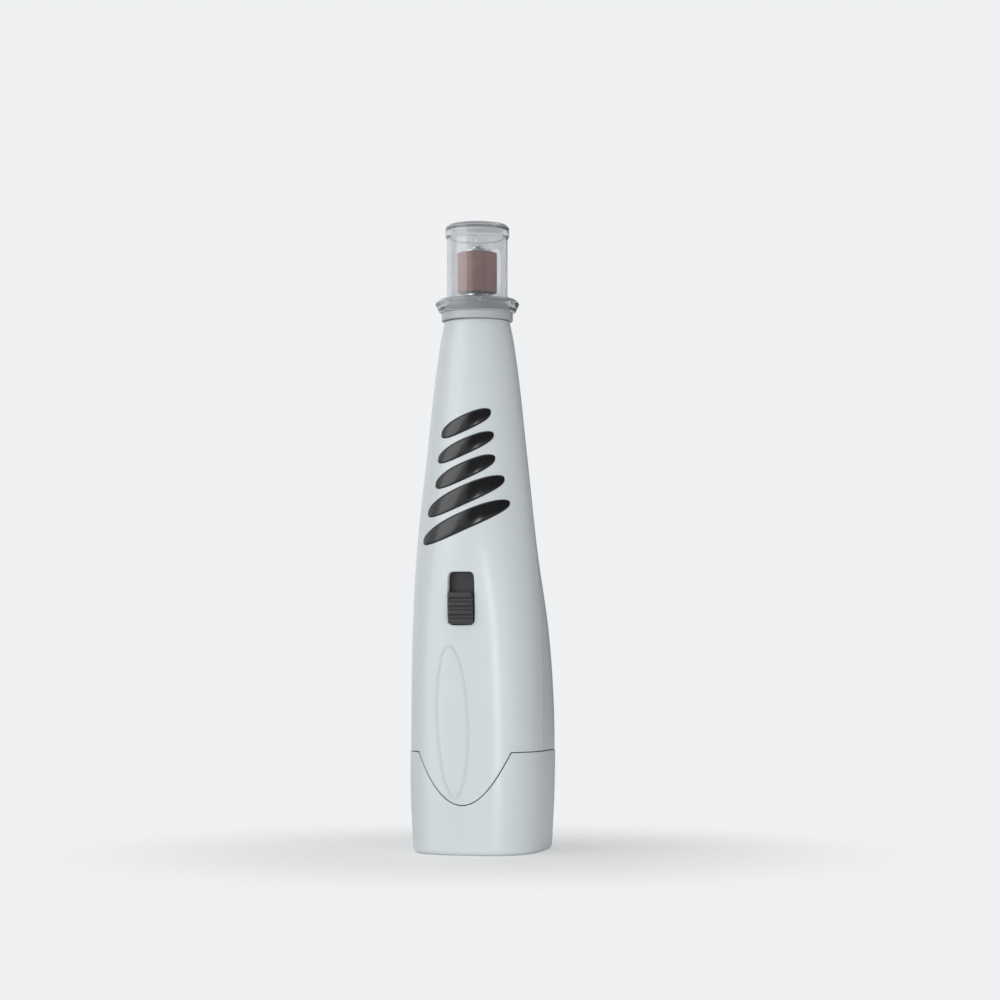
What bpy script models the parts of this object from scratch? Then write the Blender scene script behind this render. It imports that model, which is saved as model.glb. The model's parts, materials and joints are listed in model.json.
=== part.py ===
"""Electric nail grinder for dogs and cats, battery driven, standing upright on its battery cover.

The spindle runs up the Z axis, the thumb side with the switch and the grip pads faces -Y, and the
flat of the battery cover stands on z = 0. All lengths are in metres.
"""

import math

import bmesh
import bpy
import numpy as np
from mathutils import Matrix, Vector

# ---- Clearances and walls ----
FIT = 0.0003  # gap left between two pieces that seat on each other
RUNNING = 0.0006  # gap left round a piece that turns
WALL = 0.0020  # wall of the two housing shells and of the battery cover
RIB = 0.0020  # thickness of the ribs inside the housing
MOTOR_RADIUS = 0.0122

# ---- Body form: half width, reach forward, reach to the palm side, squareness ----
BASE = (0.0202, 0.0162, 0.0309, 3.0)
HEEL = (0.0210, 0.0169, 0.0318, 3.0)
BELLY = (0.0211, 0.0171, 0.0320, 3.0)
WAIST = (0.0206, 0.0178, 0.0272, 2.7)
GRIP_OVER_MOTOR = 0.0069  # how much further out than the motor the body lies below it
CONE_OVER_MOTOR = 0.00385  # and beside its upper end
BELLY_SHIFT = 0.0002
GRIP = (
    MOTOR_RADIUS + GRIP_OVER_MOTOR,
    MOTOR_RADIUS + GRIP_OVER_MOTOR - BELLY_SHIFT,
    MOTOR_RADIUS + GRIP_OVER_MOTOR + BELLY_SHIFT,
    2.1,
)
CONE = (*(MOTOR_RADIUS + CONE_OVER_MOTOR,) * 3, 2.0)
SHOULDER = (0.0127, 0.0127, 0.0127, 2.0)
NECK = (0.01145, 0.01145, 0.01145, 2.0)
BODY_TOP_RADIUS = 0.0104

# ---- Where each section of the body lies ----
HEEL_Z = 0.0170
BELLY_Z = 0.0450
WAIST_OVER_CARRIER = 0.0047
GRIP_UNDER_MOTOR = 0.0038
CONE_DROP = 0.0043  # from the motor's top
SHOULDER_DROP = 0.0134  # from the body's top
NECK_DROP = 0.0049  # from the body's top
BODY_SIDES = 32
BODY_RINGS = 12

# ---- Battery cover, its seam and the front tongue of the housing that reaches down into it ----
COVER_TOP = 0.0318
COVER_PROUD = 0.0002
COVER_EDGE = 0.0016
TONGUE_DROP = 0.0164
TONGUE_HALF_WIDTH = 0.01525
SEAM_GAP = 0.0003
LIP_DEPTH = 0.0045
LIP_RISE = 0.0030
LIP_WALL = 0.0014
GRIP_RIDGES = 5
RIDGE_PITCH = 0.0030
RIDGE_RADIUS = 0.0009
RIDGE_HALF_WIDTH = 0.0085
RIDGE_FIRST_Z = 0.0095

# ---- Grip pads: rise of the middle over the motor's top, half length and half thickness of each ----
PADS = (
    (0.0056, 0.0078, 0.00255),
    (-0.0020, 0.0088, 0.0025),
    (-0.0097, 0.0094, 0.0027),
    (-0.0174, 0.0121, 0.0030),
    (-0.0256, 0.0137, 0.0029),
)
PAD_SLANT = 0.43
PAD_POWER = 2.5  # squareness of a pad's outline, where 2 is an ellipse
PAD_WEB = 0.0010
PAD_WEB_MARGIN = 0.0016
PAD_WEB_SIDE = 0.0020  # how far ahead of the split plane the web ends
PAD_SIDES = 20

# ---- Head: spigot, collar, clear guard ----
SPIGOT_RADIUS = 0.0092
SPIGOT_HEIGHT = 0.0031
COLLAR_RADIUS = 0.0114
COLLAR_LIP_RADIUS = 0.0109
COLLAR_SKIRT = 0.0025
COLLAR_LIP_BORE = 0.0082
COLLAR_LIP = 0.0010
HOLDER_FLANGE = 0.0015
GUARD_SLIP = 0.0004
GUARD_WALL = 0.0013
GUARD_BORE = 0.0084
GUARD_FLANGE_RADIUS = 0.0135
GUARD_FLANGE_HEIGHT = 0.0041
GUARD_HEIGHT = 0.0283
GUARD_RIM = 0.0045
GUARD_RIM_PROUD = 0.0005
GUARD_TOP = 0.0018
WINDOW_HALF_WIDTH = 0.0068
WINDOW_BOTTOM = 0.0060
WINDOW_HEIGHT = 0.0160
WINDOW_CORNER = 0.0020
NECK_HOLE_RADIUS = 0.0015
NECK_HOLE_DROP = 0.0069  # from the body's top
NECK_HOLE_SPREAD = math.radians(55)

# ---- Spindle, bearings and drum ----
SPINDLE_RADIUS = 0.0020
BEARING_RADIUS = 0.0040
BEARING_WIDTH = 0.0030
BEARING_RACE = 0.00065
BEARING_SPAN = 0.0185
SLEEVE_WALL = 0.0011
SLEEVE_TAIL = 0.0012
SEAL_RADIUS = 0.0044
SEAL_HEIGHT = 0.0014
SHOULDER_RADIUS = 0.0042
SHOULDER_HEIGHT = 0.0013
SHOULDER_LIFT = 0.0012
BAND_RADIUS = 0.00635
BAND_WIDTH = 0.0127
BAND_THICKNESS = 0.0005
WASHER_RADIUS = 0.0050
WASHER_THICKNESS = 0.0007
DRUM_SCREW_RADIUS = 0.0012
DRUM_SCREW_HEAD = 0.0022
DRUM_SCREW_HEAD_HEIGHT = 0.0017
DRUM_SCREW_LENGTH = 0.0060
COUPLING_RADIUS = 0.0046
COUPLING_LENGTH = 0.0165
COUPLING_GRIP = 0.0080

# ---- Light beside the drum ----
LED_RADIUS = 0.0015
LED_HEIGHT = 0.0038
LED_FROM_AXIS = 0.0062
LEAD_THICKNESS = 0.0005
LEAD_PITCH = 0.0018
LEAD_LENGTH = 0.0130

# ---- Motor ----
MOTOR_LENGTH = 0.0305
MOTOR_BOSS_RADIUS = 0.0030
MOTOR_BOSS_HEIGHT = 0.0018
MOTOR_CAN_WALL = 0.0010
MOTOR_SHAFT_RADIUS = 0.00115
MOTOR_SHAFT_TAIL = 0.0012
ENDBELL_HEIGHT = 0.0020
ENDBELL_REGISTER = 0.0015
MAGNET_THICKNESS = 0.0025
MAGNET_HEIGHT = 0.0200
MAGNET_GAP = 0.0070
ARMATURE_GAP = 0.0005
ARMATURE_HEIGHT = 0.0160
ARMATURE_SLOT = 0.0032
ARMATURE_HUB = 0.0036
ARMATURE_LIFT = 0.0085
WINDING_OVERHANG = 0.0014
COMMUTATOR_RADIUS = 0.0026
COMMUTATOR_HEIGHT = 0.0034
BRUSH_LENGTH = 0.0030
BRUSH_WIDTH = 0.0020
BRUSH_HEIGHT = 0.0018
TERMINAL_SPREAD = 0.0060
TERMINAL_LENGTH = 0.0030
MOTOR_OVER_BOARD = 0.0060
MOUNT_WIDTH = 0.0030
MOUNT_THICKNESS = 0.0014
REAR_MOUNT_LIFT = 0.0030
FRONT_MOUNT_LIFT = 0.0118
BULKHEAD = 0.0015

# ---- Batteries and their carrier ----
CELL_RADIUS = 0.00725
CELL_LENGTH = 0.0505
CELL_NUB_RADIUS = 0.00275
CELL_NUB_HEIGHT = 0.0010
CELL_PITCH = 0.0156
CELL_SLIP = 0.00025
CELL_BOTTOM = 0.0088
PACK_CENTRE_Y = 0.0075
CARRIER_WALL = 0.0010
CARRIER_FOOT = 0.0110
CARRIER_LID = 0.0014
CARRIER_WIRE_HOLE = 0.0009
CONTACT_ROOM = 0.0046
PLATE_THICKNESS = 0.0004
PLATE_WIDTH = 0.0090
SPRING_RADIUS = 0.0030
SPRING_TIP_RADIUS = 0.0020
SPRING_WIRE = 0.0003
SPRING_CURLS = 2.5
CARRIER_RIB_LOW = 0.0400
CARRIER_RIB_DROP = 0.0043  # from the carrier's top down to the upper rib

# ---- Switch and control board ----
SWITCH_TRAVEL = 0.0060
KNOB_WIDTH = 0.0080
KNOB_HEIGHT = 0.0100
KNOB_PROUD = 0.0012
KNOB_PLATE_WIDTH = 0.0120
KNOB_PLATE = 0.0010
KNOB_PLATE_LAP = 0.0015
KNOB_RIDGES = 3
KNOB_RIDGE_PITCH = 0.0026
KNOB_RIDGE = 0.0010
FORK_DEPTH = 0.0018
LEVER = 0.0020
LEVER_LENGTH = 0.0036
SLIDER_WIDTH = 0.0080
SLIDER_HEIGHT = 0.0140
SLIDER_DEPTH = 0.0038
BOARD_WIDTH = 0.0212
BOARD_HEIGHT = 0.0260
BOARD_THICKNESS = 0.0016
BOARD_LIFT = 0.0015
BOARD_BOSS_SIDE = 0.0020  # from the board's side edge to its screws
BOARD_BOSS_EDGE = 0.0024  # from its top or bottom edge to its screws
BOARD_BOSS_RADIUS = 0.0020
BOARD_SCREW_RADIUS = 0.0007
BOARD_SCREW_HEAD = 0.0016
BOARD_SCREW_LENGTH = 0.0060
CHIP_WIDTH = 0.0060
CHIP_HEIGHT = 0.0050
CHIP_THICKNESS = 0.0016

# ---- Screws ----
SCREW_RADIUS = 0.00115
SCREW_HEAD_RADIUS = 0.0022
SCREW_HEAD_HEIGHT = 0.0016
SCREW_SEAT_Y = 0.0040
SCREW_LENGTH = 0.0100
BOSS_RADIUS = 0.0033
LOW_SCREW_X = 0.0148
LOW_SCREW_DROP = 0.0058  # from the switch's middle
HIGH_SCREW_X = 0.0084
HIGH_SCREW_DROP = 0.0219  # from the body's top

# ---- Wires ----
WIRE_RADIUS = 0.0004

# ---- Facets ----
ROUND = 24
FINE = 16
COARSE = 12
MERGE = 0.00001
SIDES = (("left", -1.0), ("right", 1.0))

# ---- Heights that follow from the sizes above, from the battery cover's floor up ----
BIG = 0.06  # longer than any wall that a cutter goes through
CELL_TOP = CELL_BOTTOM + CELL_LENGTH
CARRIER_POCKET_TOP = CELL_TOP + CONTACT_ROOM
CARRIER_TOP = CARRIER_POCKET_TOP + CARRIER_LID
BOARD_LOW = CARRIER_TOP + BOARD_LIFT
BOARD_HIGH = BOARD_LOW + BOARD_HEIGHT
SWITCH_Z = (BOARD_LOW + BOARD_HIGH) / 2
MOTOR_BOTTOM = BOARD_HIGH + MOTOR_OVER_BOARD
MOTOR_TOP = MOTOR_BOTTOM + MOTOR_LENGTH
CAN_BOTTOM = MOTOR_BOTTOM + ENDBELL_HEIGHT
ENDBELL_TOP = CAN_BOTTOM + ENDBELL_REGISTER
COUPLING_BOTTOM = MOTOR_TOP + MOTOR_BOSS_HEIGHT + RUNNING
COUPLING_TOP = COUPLING_BOTTOM + COUPLING_LENGTH
COUPLING_STEP = COUPLING_TOP - COUPLING_GRIP
MOTOR_SHAFT_TOP = COUPLING_STEP - FIT
MANDREL_BOTTOM = COUPLING_STEP + FIT
SLEEVE_BOTTOM = COUPLING_TOP + RUNNING
REAR_BEARING_BOTTOM = SLEEVE_BOTTOM + SLEEVE_TAIL
FRONT_BEARING_BOTTOM = REAR_BEARING_BOTTOM + BEARING_SPAN
FRONT_BEARING_TOP = FRONT_BEARING_BOTTOM + BEARING_WIDTH
HOLDER_BOTTOM = FRONT_BEARING_TOP + FIT
HOLDER_TOP = HOLDER_BOTTOM + HOLDER_FLANGE
SPIGOT_TOP = HOLDER_BOTTOM - FIT
BODY_TOP = SPIGOT_TOP - SPIGOT_HEIGHT
COLLAR_BOTTOM = BODY_TOP + FIT
COLLAR_STEP = COLLAR_BOTTOM + COLLAR_SKIRT
COLLAR_TOP = HOLDER_TOP + FIT + COLLAR_LIP
GUARD_BOTTOM = COLLAR_STEP + FIT
GUARD_END = GUARD_BOTTOM + GUARD_HEIGHT
GUARD_SEAT = COLLAR_TOP + FIT
SEAL_BOTTOM = HOLDER_TOP + FIT
SEAL_TOP = SEAL_BOTTOM + SEAL_HEIGHT
SHOULDER_BOTTOM = SEAL_TOP + SHOULDER_LIFT
SHOULDER_TOP = SHOULDER_BOTTOM + SHOULDER_HEIGHT
DRUM_BOTTOM = SHOULDER_TOP + FIT
DRUM_TOP = DRUM_BOTTOM + BAND_WIDTH
MANDREL_TOP = DRUM_TOP - FIT
WASHER_BOTTOM = DRUM_TOP + FIT
WASHER_TOP = WASHER_BOTTOM + WASHER_THICKNESS

# ---- Radii that follow from the sizes above ----
CAN_BORE = MOTOR_RADIUS - MOTOR_CAN_WALL
MAGNET_OUTSIDE = CAN_BORE - FIT
ARMATURE_RADIUS = MAGNET_OUTSIDE - MAGNET_THICKNESS - ARMATURE_GAP
SHAFT_BORE = MOTOR_SHAFT_RADIUS + FIT
CARRIER_BORE = CELL_RADIUS + CELL_SLIP
CARRIER_HALF = CELL_PITCH / 2 + CARRIER_BORE + CARRIER_WALL
CARRIER_CORNER = CARRIER_BORE + CARRIER_WALL

for left_over in list(bpy.data.objects):
    bpy.data.objects.remove(left_over, do_unlink=True)

GRINDER = bpy.data.collections.new("nail_grinder")
CUTTERS = bpy.data.collections.new("cutters")
for group in (GRINDER, CUTTERS):
    bpy.context.scene.collection.children.link(group)


# ---- Materials ----
def finish(name, colour, roughness, metallic=0.0, clear=0.0):
    material = bpy.data.materials.new(name)
    material.use_nodes = True
    shader = material.node_tree.nodes["Principled BSDF"]
    shader.inputs["Base Color"].default_value = (*colour, 1.0)
    shader.inputs["Roughness"].default_value = roughness
    shader.inputs["Metallic"].default_value = metallic
    shader.inputs["Transmission Weight"].default_value = clear
    return material


GREY_ABS = finish("grey_abs", (0.60, 0.64, 0.66), 0.35)
COVER_ABS = finish("cover_abs", (0.60, 0.64, 0.66), 0.35)
COLLAR_ABS = finish("collar_abs", (0.36, 0.38, 0.39), 0.40)
GRIP_RUBBER = finish("grip_rubber", (0.02, 0.02, 0.022), 0.45)
CLEAR_PLASTIC = finish("clear_plastic", (0.92, 0.93, 0.93), 0.05, clear=1.0)
CARRIER_ABS = finish("carrier_abs", (0.05, 0.05, 0.055), 0.50)
SWITCH_ABS = finish("switch_abs", (0.05, 0.05, 0.055), 0.45)
STEEL = finish("steel", (0.62, 0.62, 0.63), 0.28, 1.0)
MOTOR_STEEL = finish("motor_steel", (0.50, 0.50, 0.51), 0.35, 1.0)
COPPER = finish("copper", (0.72, 0.36, 0.20), 0.35, 1.0)
BRASS = finish("brass", (0.72, 0.55, 0.26), 0.35, 1.0)
FERRITE = finish("ferrite", (0.06, 0.06, 0.065), 0.60)
FELT = finish("felt", (0.20, 0.20, 0.20), 0.90)
RUBBER = finish("rubber", (0.03, 0.03, 0.03), 0.70)
ABRASIVE = finish("abrasive", (0.25, 0.13, 0.11), 0.90)
LED_EPOXY = finish("led_epoxy", (0.90, 0.85, 0.65), 0.10, clear=0.6)
BOARD_GREEN = finish("board_green", (0.02, 0.16, 0.07), 0.45)
CHIP_BLACK = finish("chip_black", (0.02, 0.02, 0.02), 0.50)
CELL_LABEL = finish("cell_label", (0.10, 0.12, 0.14), 0.35)
WIRE_INSULATION = finish("wire_insulation", (0.45, 0.03, 0.02), 0.50)


# ---- Joint axes: one empty for each group of pieces that moves together ----
def axis(name, place):
    empty = bpy.data.objects.new(name, None)
    empty.location = place
    GRINDER.objects.link(empty)
    return empty


HOUSING = axis("housing_frame", (0.0, 0.0, 0.0))
SPINDLE = axis("spindle_axis", (0.0, 0.0, BODY_TOP))
GUARD = axis("guard_axis", (0.0, 0.0, BODY_TOP))
COVER = axis("cover_axis", (0.0, PACK_CENTRE_Y, 0.0))
SWITCH = axis("switch_axis", (0.0, -WAIST[1], SWITCH_Z))
bpy.context.view_layer.update()


# ---- Shape helpers ----
def place(obj, material=None, carrier=None):
    """Files a piece under the object and its carrier, or a guide under the cutters."""
    if material is None:
        CUTTERS.objects.link(obj)
        obj.hide_render = True
        obj.display_type = "WIRE"
        return obj
    GRINDER.objects.link(obj)
    obj.data.materials.append(material)
    obj.parent = carrier
    obj.matrix_parent_inverse = carrier.matrix_world.inverted()
    return obj


def from_bmesh(name, bm, material=None, carrier=None):
    mesh = bpy.data.meshes.new(name)
    bm.to_mesh(mesh)
    bm.free()
    return place(bpy.data.objects.new(name, mesh), material, carrier)


def turned(name, profile, sides, material=None, carrier=None):
    """Spins a profile of (radius, height), given from the top down its outer side."""
    bm = bmesh.new()
    points = [bm.verts.new((radius, 0.0, height)) for radius, height in profile]
    for upper, lower in zip(points, points[1:]):
        bm.edges.new((upper, lower))
    if profile[0][0] > 0.0:
        bm.edges.new((points[-1], points[0]))
    obj = from_bmesh(name, bm, material, carrier)
    screw = obj.modifiers.new("spin", "SCREW")
    screw.steps = screw.render_steps = sides
    screw.use_merge_vertices = True
    screw.merge_threshold = MERGE
    return obj


def ring(name, bore, radius, bottom, top, sides, material=None, carrier=None):
    profile = [(radius, top), (radius, bottom), (bore, bottom), (bore, top)]
    return turned(name, profile, sides, material, carrier)


def rod(name, radius, bottom, top, sides, material=None, carrier=None):
    profile = [(0.0, top), (radius, top), (radius, bottom), (0.0, bottom)]
    return turned(name, profile, sides, material, carrier)


def add_box(bm, low, high, turn=None):
    low, high = Vector(low), Vector(high)
    size = Matrix.Diagonal((*(high - low), 1.0))
    matrix = Matrix.Translation((low + high) / 2) @ size
    if turn is not None:
        matrix = turn @ matrix
    return bmesh.ops.create_cube(bm, size=1.0, matrix=matrix)["verts"]


def box(name, low, high, material=None, carrier=None, edge=0.0):
    bm = bmesh.new()
    add_box(bm, low, high)
    if edge > 0.0:
        bmesh.ops.bevel(bm, geom=bm.edges[:], offset=edge, segments=1, affect="EDGES", profile=0.5)
    return from_bmesh(name, bm, material, carrier)


def boxes(name, corners, material=None, carrier=None):
    bm = bmesh.new()
    for low, high in corners:
        add_box(bm, low, high)
    return from_bmesh(name, bm, material, carrier)


def add_pin(bm, centre, radius, start, end, sides):
    """Adds a cylinder that runs along Y from start to end, at centre (x, z)."""
    matrix = (
        Matrix.Translation((centre[0], (start + end) / 2, centre[1]))
        @ Matrix.Rotation(math.pi / 2, 4, "X")
    )
    bmesh.ops.create_cone(
        bm, cap_ends=True, segments=sides, radius1=radius, radius2=radius,
        depth=abs(end - start), matrix=matrix,
    )


def pins(name, centres, radius, start, end, sides=FINE, material=None, carrier=None):
    bm = bmesh.new()
    for centre in centres:
        add_pin(bm, centre, radius, start, end, sides)
    return from_bmesh(name, bm, material, carrier)


def rounded_prism(name, centre_y, half, corner, bottom, top, material=None, carrier=None):
    """A square column with round corners, standing on Z round the battery pack's centre."""
    bm = bmesh.new()
    add_box(bm, (-half, centre_y - half, bottom), (half, centre_y + half, top))
    upright = [e for e in bm.edges if abs(e.verts[0].co.z - e.verts[1].co.z) > MERGE]
    bmesh.ops.bevel(bm, geom=upright, offset=corner, segments=4, affect="EDGES", profile=0.5)
    return from_bmesh(name, bm, material, carrier)


def boolean(obj, other, operation):
    modifier = obj.modifiers.new(other.name, "BOOLEAN")
    modifier.operation = operation
    modifier.object = other
    modifier.solver = "EXACT"


def cut(obj, *others):
    for other in others:
        boolean(obj, other, "DIFFERENCE")


def join(obj, *others):
    for other in others:
        boolean(obj, other, "UNION")


def keep_inside(obj, other):
    boolean(obj, other, "INTERSECT")


def shell(obj, thickness):
    solidify = obj.modifiers.new("wall", "SOLIDIFY")
    solidify.thickness = thickness
    solidify.offset = -1.0
    solidify.use_even_offset = True


# ---- Sections of the body ----
WAIST_Z = CARRIER_TOP + WAIST_OVER_CARRIER
SHOULDER_Z = BODY_TOP - SHOULDER_DROP
STATIONS = (
    (0.0, *BASE),
    (HEEL_Z, *HEEL),
    (BELLY_Z, *BELLY),
    (WAIST_Z, *WAIST),
    (MOTOR_BOTTOM - GRIP_UNDER_MOTOR, *GRIP),
    (MOTOR_TOP - CONE_DROP, *CONE),
    (SHOULDER_Z, *SHOULDER),
    (BODY_TOP - NECK_DROP, *NECK),
    (BODY_TOP, *(BODY_TOP_RADIUS,) * 3, 2.0),
)
STATION_Z = [station[0] for station in STATIONS]
STATION_SLOPES = [np.gradient([s[column] for s in STATIONS], STATION_Z) for column in range(1, 5)]


def form(z):
    """Half width, front reach, back reach and squareness of the body at a height."""
    low = int(np.clip(np.searchsorted(STATION_Z, z) - 1, 0, len(STATIONS) - 2))
    span = STATION_Z[low + 1] - STATION_Z[low]
    t = (z - STATION_Z[low]) / span
    values = []
    for column in range(4):
        start, end = STATIONS[low][column + 1], STATIONS[low + 1][column + 1]
        slope_in, slope_out = STATION_SLOPES[column][low], STATION_SLOPES[column][low + 1]
        values.append(
            (2 * t**3 - 3 * t**2 + 1) * start
            + (t**3 - 2 * t**2 + t) * span * slope_in
            + (3 * t**2 - 2 * t**3) * end
            + (t**3 - t**2) * span * slope_out
        )
    return values


def outline(z, inset=0.0):
    """The body's outline at a height, moved inwards by inset."""
    half, front, back, power = form(z)
    half, front, back = half - inset, front - inset, back - inset
    middle, depth = (back - front) / 2, (back + front) / 2
    points = []
    for i in range(BODY_SIDES):
        turn = 2 * math.pi * i / BODY_SIDES
        c, s = math.cos(turn), math.sin(turn)
        x = half * math.copysign(abs(c) ** (2 / power), c)
        y = middle + depth * math.copysign(abs(s) ** (2 / power), s)
        points.append((x, y, z))
    return points


def circle(z, radius):
    turns = [2 * math.pi * i / BODY_SIDES for i in range(BODY_SIDES)]
    return [(radius * math.cos(turn), radius * math.sin(turn), z) for turn in turns]


def loft(name, rings, floor=False, roof=False, material=None, carrier=None):
    """Skins a stack of outlines, lowest first, and closes its ends where asked."""
    bm = bmesh.new()
    loops = [[bm.verts.new(point) for point in outline_points] for outline_points in rings]
    for lower, upper in zip(loops, loops[1:]):
        for i in range(BODY_SIDES):
            j = (i + 1) % BODY_SIDES
            bm.faces.new((lower[i], lower[j], upper[j], upper[i]))
    if floor:
        bm.faces.new(list(reversed(loops[0])))
    if roof:
        bm.faces.new(loops[-1])
    return from_bmesh(name, bm, material, carrier)


def slab(name, bottom, top, inset):
    return loft(name, [outline(bottom, inset), outline(top, inset)], floor=True, roof=True)


def front_y(z, x=0.0, inset=0.0):
    """How far forward the body's surface lies at a height and a distance from the middle."""
    half, front, back, power = form(z)
    half, front, back = half - inset, front - inset, back - inset
    middle, depth = (back - front) / 2, (back + front) / 2
    return middle - depth * (1 - abs(x / half) ** power) ** (1 / power)


# ---- The seam between housing and cover, with the tongue's curve at the front ----
def tongue_curve(gap):
    """The tongue's edge, drawn in by gap, from its right end down to its tip and up again."""
    half, tip = TONGUE_HALF_WIDTH - gap, COVER_TOP - TONGUE_DROP + gap
    steps = [i / 10 for i in range(10, -11, -1)]
    return [(half * s, tip + TONGUE_DROP * s * s) for s in steps]


def front_prism(name, corners, start=0.0):
    """Extrudes an outline in (x, z) forward through the front wall, from start ahead of the split plane."""
    bm = bmesh.new()
    near = [bm.verts.new((x, -start, z)) for x, z in corners]
    face = bm.faces.new(near)
    far = bmesh.ops.extrude_face_region(bm, geom=[face])["geom"]
    moved = [item for item in far if isinstance(item, bmesh.types.BMVert)]
    bmesh.ops.translate(bm, verts=moved, vec=(0.0, -BIG, 0.0))
    bmesh.ops.recalc_face_normals(bm, faces=bm.faces[:])
    return from_bmesh(name, bm)


HOUSING_EDGE = COVER_TOP + SEAM_GAP
tongue_space = front_prism(
    "tongue_space",
    [*tongue_curve(0.0), (-TONGUE_HALF_WIDTH, COVER_TOP + BIG), (TONGUE_HALF_WIDTH, COVER_TOP + BIG)],
)
below_seam_front = front_prism(
    "below_seam_front",
    [
        (-BIG, HOUSING_EDGE), (-BIG, -BIG), (BIG, -BIG), (BIG, HOUSING_EDGE),
        *tongue_curve(SEAM_GAP),
    ],
)
below_seam_rear = box("below_seam_rear", (-BIG, -FIT, -BIG), (BIG, BIG, HOUSING_EDGE))
SPLIT = FIT / 2  # from the plane where the mouldings meet to the edge of each wall
rear_space = box("rear_space", (-BIG, -SPLIT, -BIG), (BIG, BIG, BIG * 4))
front_space = box("front_space", (-BIG, -BIG, -BIG), (BIG, SPLIT, BIG * 4))
behind_fittings = box("behind_fittings", (-BIG, -FIT, -BIG), (BIG, BIG, BIG * 4))
ahead_of_fittings = box("ahead_of_fittings", (-BIG, -BIG, -BIG), (BIG, FIT, BIG * 4))

# ---- Ribs, bosses and lip that belong to the housing mouldings ----
carrier_room = rounded_prism(
    "carrier_room", PACK_CENTRE_Y, CARRIER_HALF + FIT, CARRIER_CORNER + FIT, -BIG, CARRIER_TOP + BIG / 4
)
ribs = []
for rib_name, rib_z in (
    ("carrier_rib_low", CARRIER_RIB_LOW),
    ("carrier_rib_high", CARRIER_TOP - CARRIER_RIB_DROP),
):
    rib = slab(rib_name, rib_z, rib_z + RIB, WALL / 2)
    cut(rib, carrier_room)
    ribs.append(rib)


motor_bay = rod("motor_bay", MOTOR_RADIUS + FIT + MOUNT_THICKNESS + FIT, MOTOR_BOTTOM, MOTOR_TOP, ROUND)
REAR_MOUNT_Z = MOTOR_BOTTOM + REAR_MOUNT_LIFT
FRONT_MOUNT_Z = MOTOR_BOTTOM + FRONT_MOUNT_LIFT
motor_ribs = []
for rib_name, rib_z in (("motor_rib_rear", REAR_MOUNT_Z), ("motor_rib_front", FRONT_MOUNT_Z)):
    rib = slab(rib_name, rib_z, rib_z + MOUNT_WIDTH, WALL / 2)
    cut(rib, motor_bay)
    motor_ribs.append(rib)

WIRE_LANE = MOTOR_RADIUS + FIT + WIRE_RADIUS  # distance of the light's wires from the spindle axis
BULKHEAD_Z = MOTOR_TOP + FIT
bulkhead = slab("motor_bulkhead", BULKHEAD_Z, BULKHEAD_Z + BULKHEAD, WALL / 2)
boss_room = rod("boss_room", MOTOR_BOSS_RADIUS + FIT, MOTOR_TOP - RIB, BULKHEAD_Z + BIG, FINE)
wire_room = box(
    "wire_room",
    (-LEAD_PITCH, WIRE_LANE - LEAD_PITCH, BULKHEAD_Z - RIB),
    (LEAD_PITCH, WIRE_LANE + FIT + WIRE_RADIUS, BULKHEAD_Z + BULKHEAD + RIB),
)
cut(bulkhead, boss_room, wire_room)
ribs += [*motor_ribs, bulkhead]

lip_levels = [COVER_TOP - LIP_DEPTH, HOUSING_EDGE, HOUSING_EDGE + LIP_RISE]
lip = loft("housing_lip", [outline(z, WALL + FIT) for z in lip_levels])
shell(lip, LIP_WALL)
lip_bridge = slab("lip_bridge", HOUSING_EDGE + LIP_RISE / 4, HOUSING_EDGE + LIP_RISE * 3 / 4, WALL / 2)
lip_hole = slab("lip_hole", HOUSING_EDGE, HOUSING_EDGE + LIP_RISE + RIB, WALL + FIT + LIP_WALL / 2)
cut(lip_bridge, lip_hole)


# ---- Grip pad outlines ----
pads = [(MOTOR_TOP + rise, half_length, half_thickness) for rise, half_length, half_thickness in PADS]


def pad_outline(pad, grow):
    """A slanted oval in (x, z), grown all round by grow."""
    middle, half_length, half_thickness = pad
    outline = []
    for i in range(PAD_SIDES):
        turn = 2 * math.pi * i / PAD_SIDES
        reach = (abs(math.cos(turn)) ** PAD_POWER + abs(math.sin(turn)) ** PAD_POWER) ** (-1 / PAD_POWER)
        along, across = reach * math.cos(turn), reach * math.sin(turn)
        slanted = middle + PAD_SLANT * half_length * along
        outline.append(((half_length + grow) * along, slanted + (half_thickness + grow) * across))
    return outline


def pad_prisms(name, grow):
    """One column along Y for each pad, through the front wall."""
    bm = bmesh.new()
    for pad in pads:
        near = bm.faces.new([bm.verts.new((x, 0.0, z)) for x, z in pad_outline(pad, grow)])
        far = bmesh.ops.extrude_face_region(bm, geom=[near])["geom"]
        moved = [item for item in far if isinstance(item, bmesh.types.BMVert)]
        bmesh.ops.translate(bm, verts=moved, vec=(0.0, -BIG, 0.0))
    bmesh.ops.recalc_face_normals(bm, faces=bm.faces[:])
    return from_bmesh(name, bm)


def web_corners(grow):
    """The outline of the rubber web that joins the pads behind the wall, grown by grow."""
    top, bottom = pads[0], pads[-1]
    right, left = [], []
    for middle, half_length, half_thickness in (top, bottom):
        reach = half_length + PAD_WEB_MARGIN / 2 + grow
        rise = half_thickness + PAD_WEB_MARGIN + grow
        sign = 1.0 if middle == top[0] else -1.0
        right.append((reach, middle + PAD_SLANT * reach + sign * rise / 2))
        left.append((-reach, middle - PAD_SLANT * reach + sign * rise / 2))
    return [right[0], left[0], left[1], right[1]]


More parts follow.
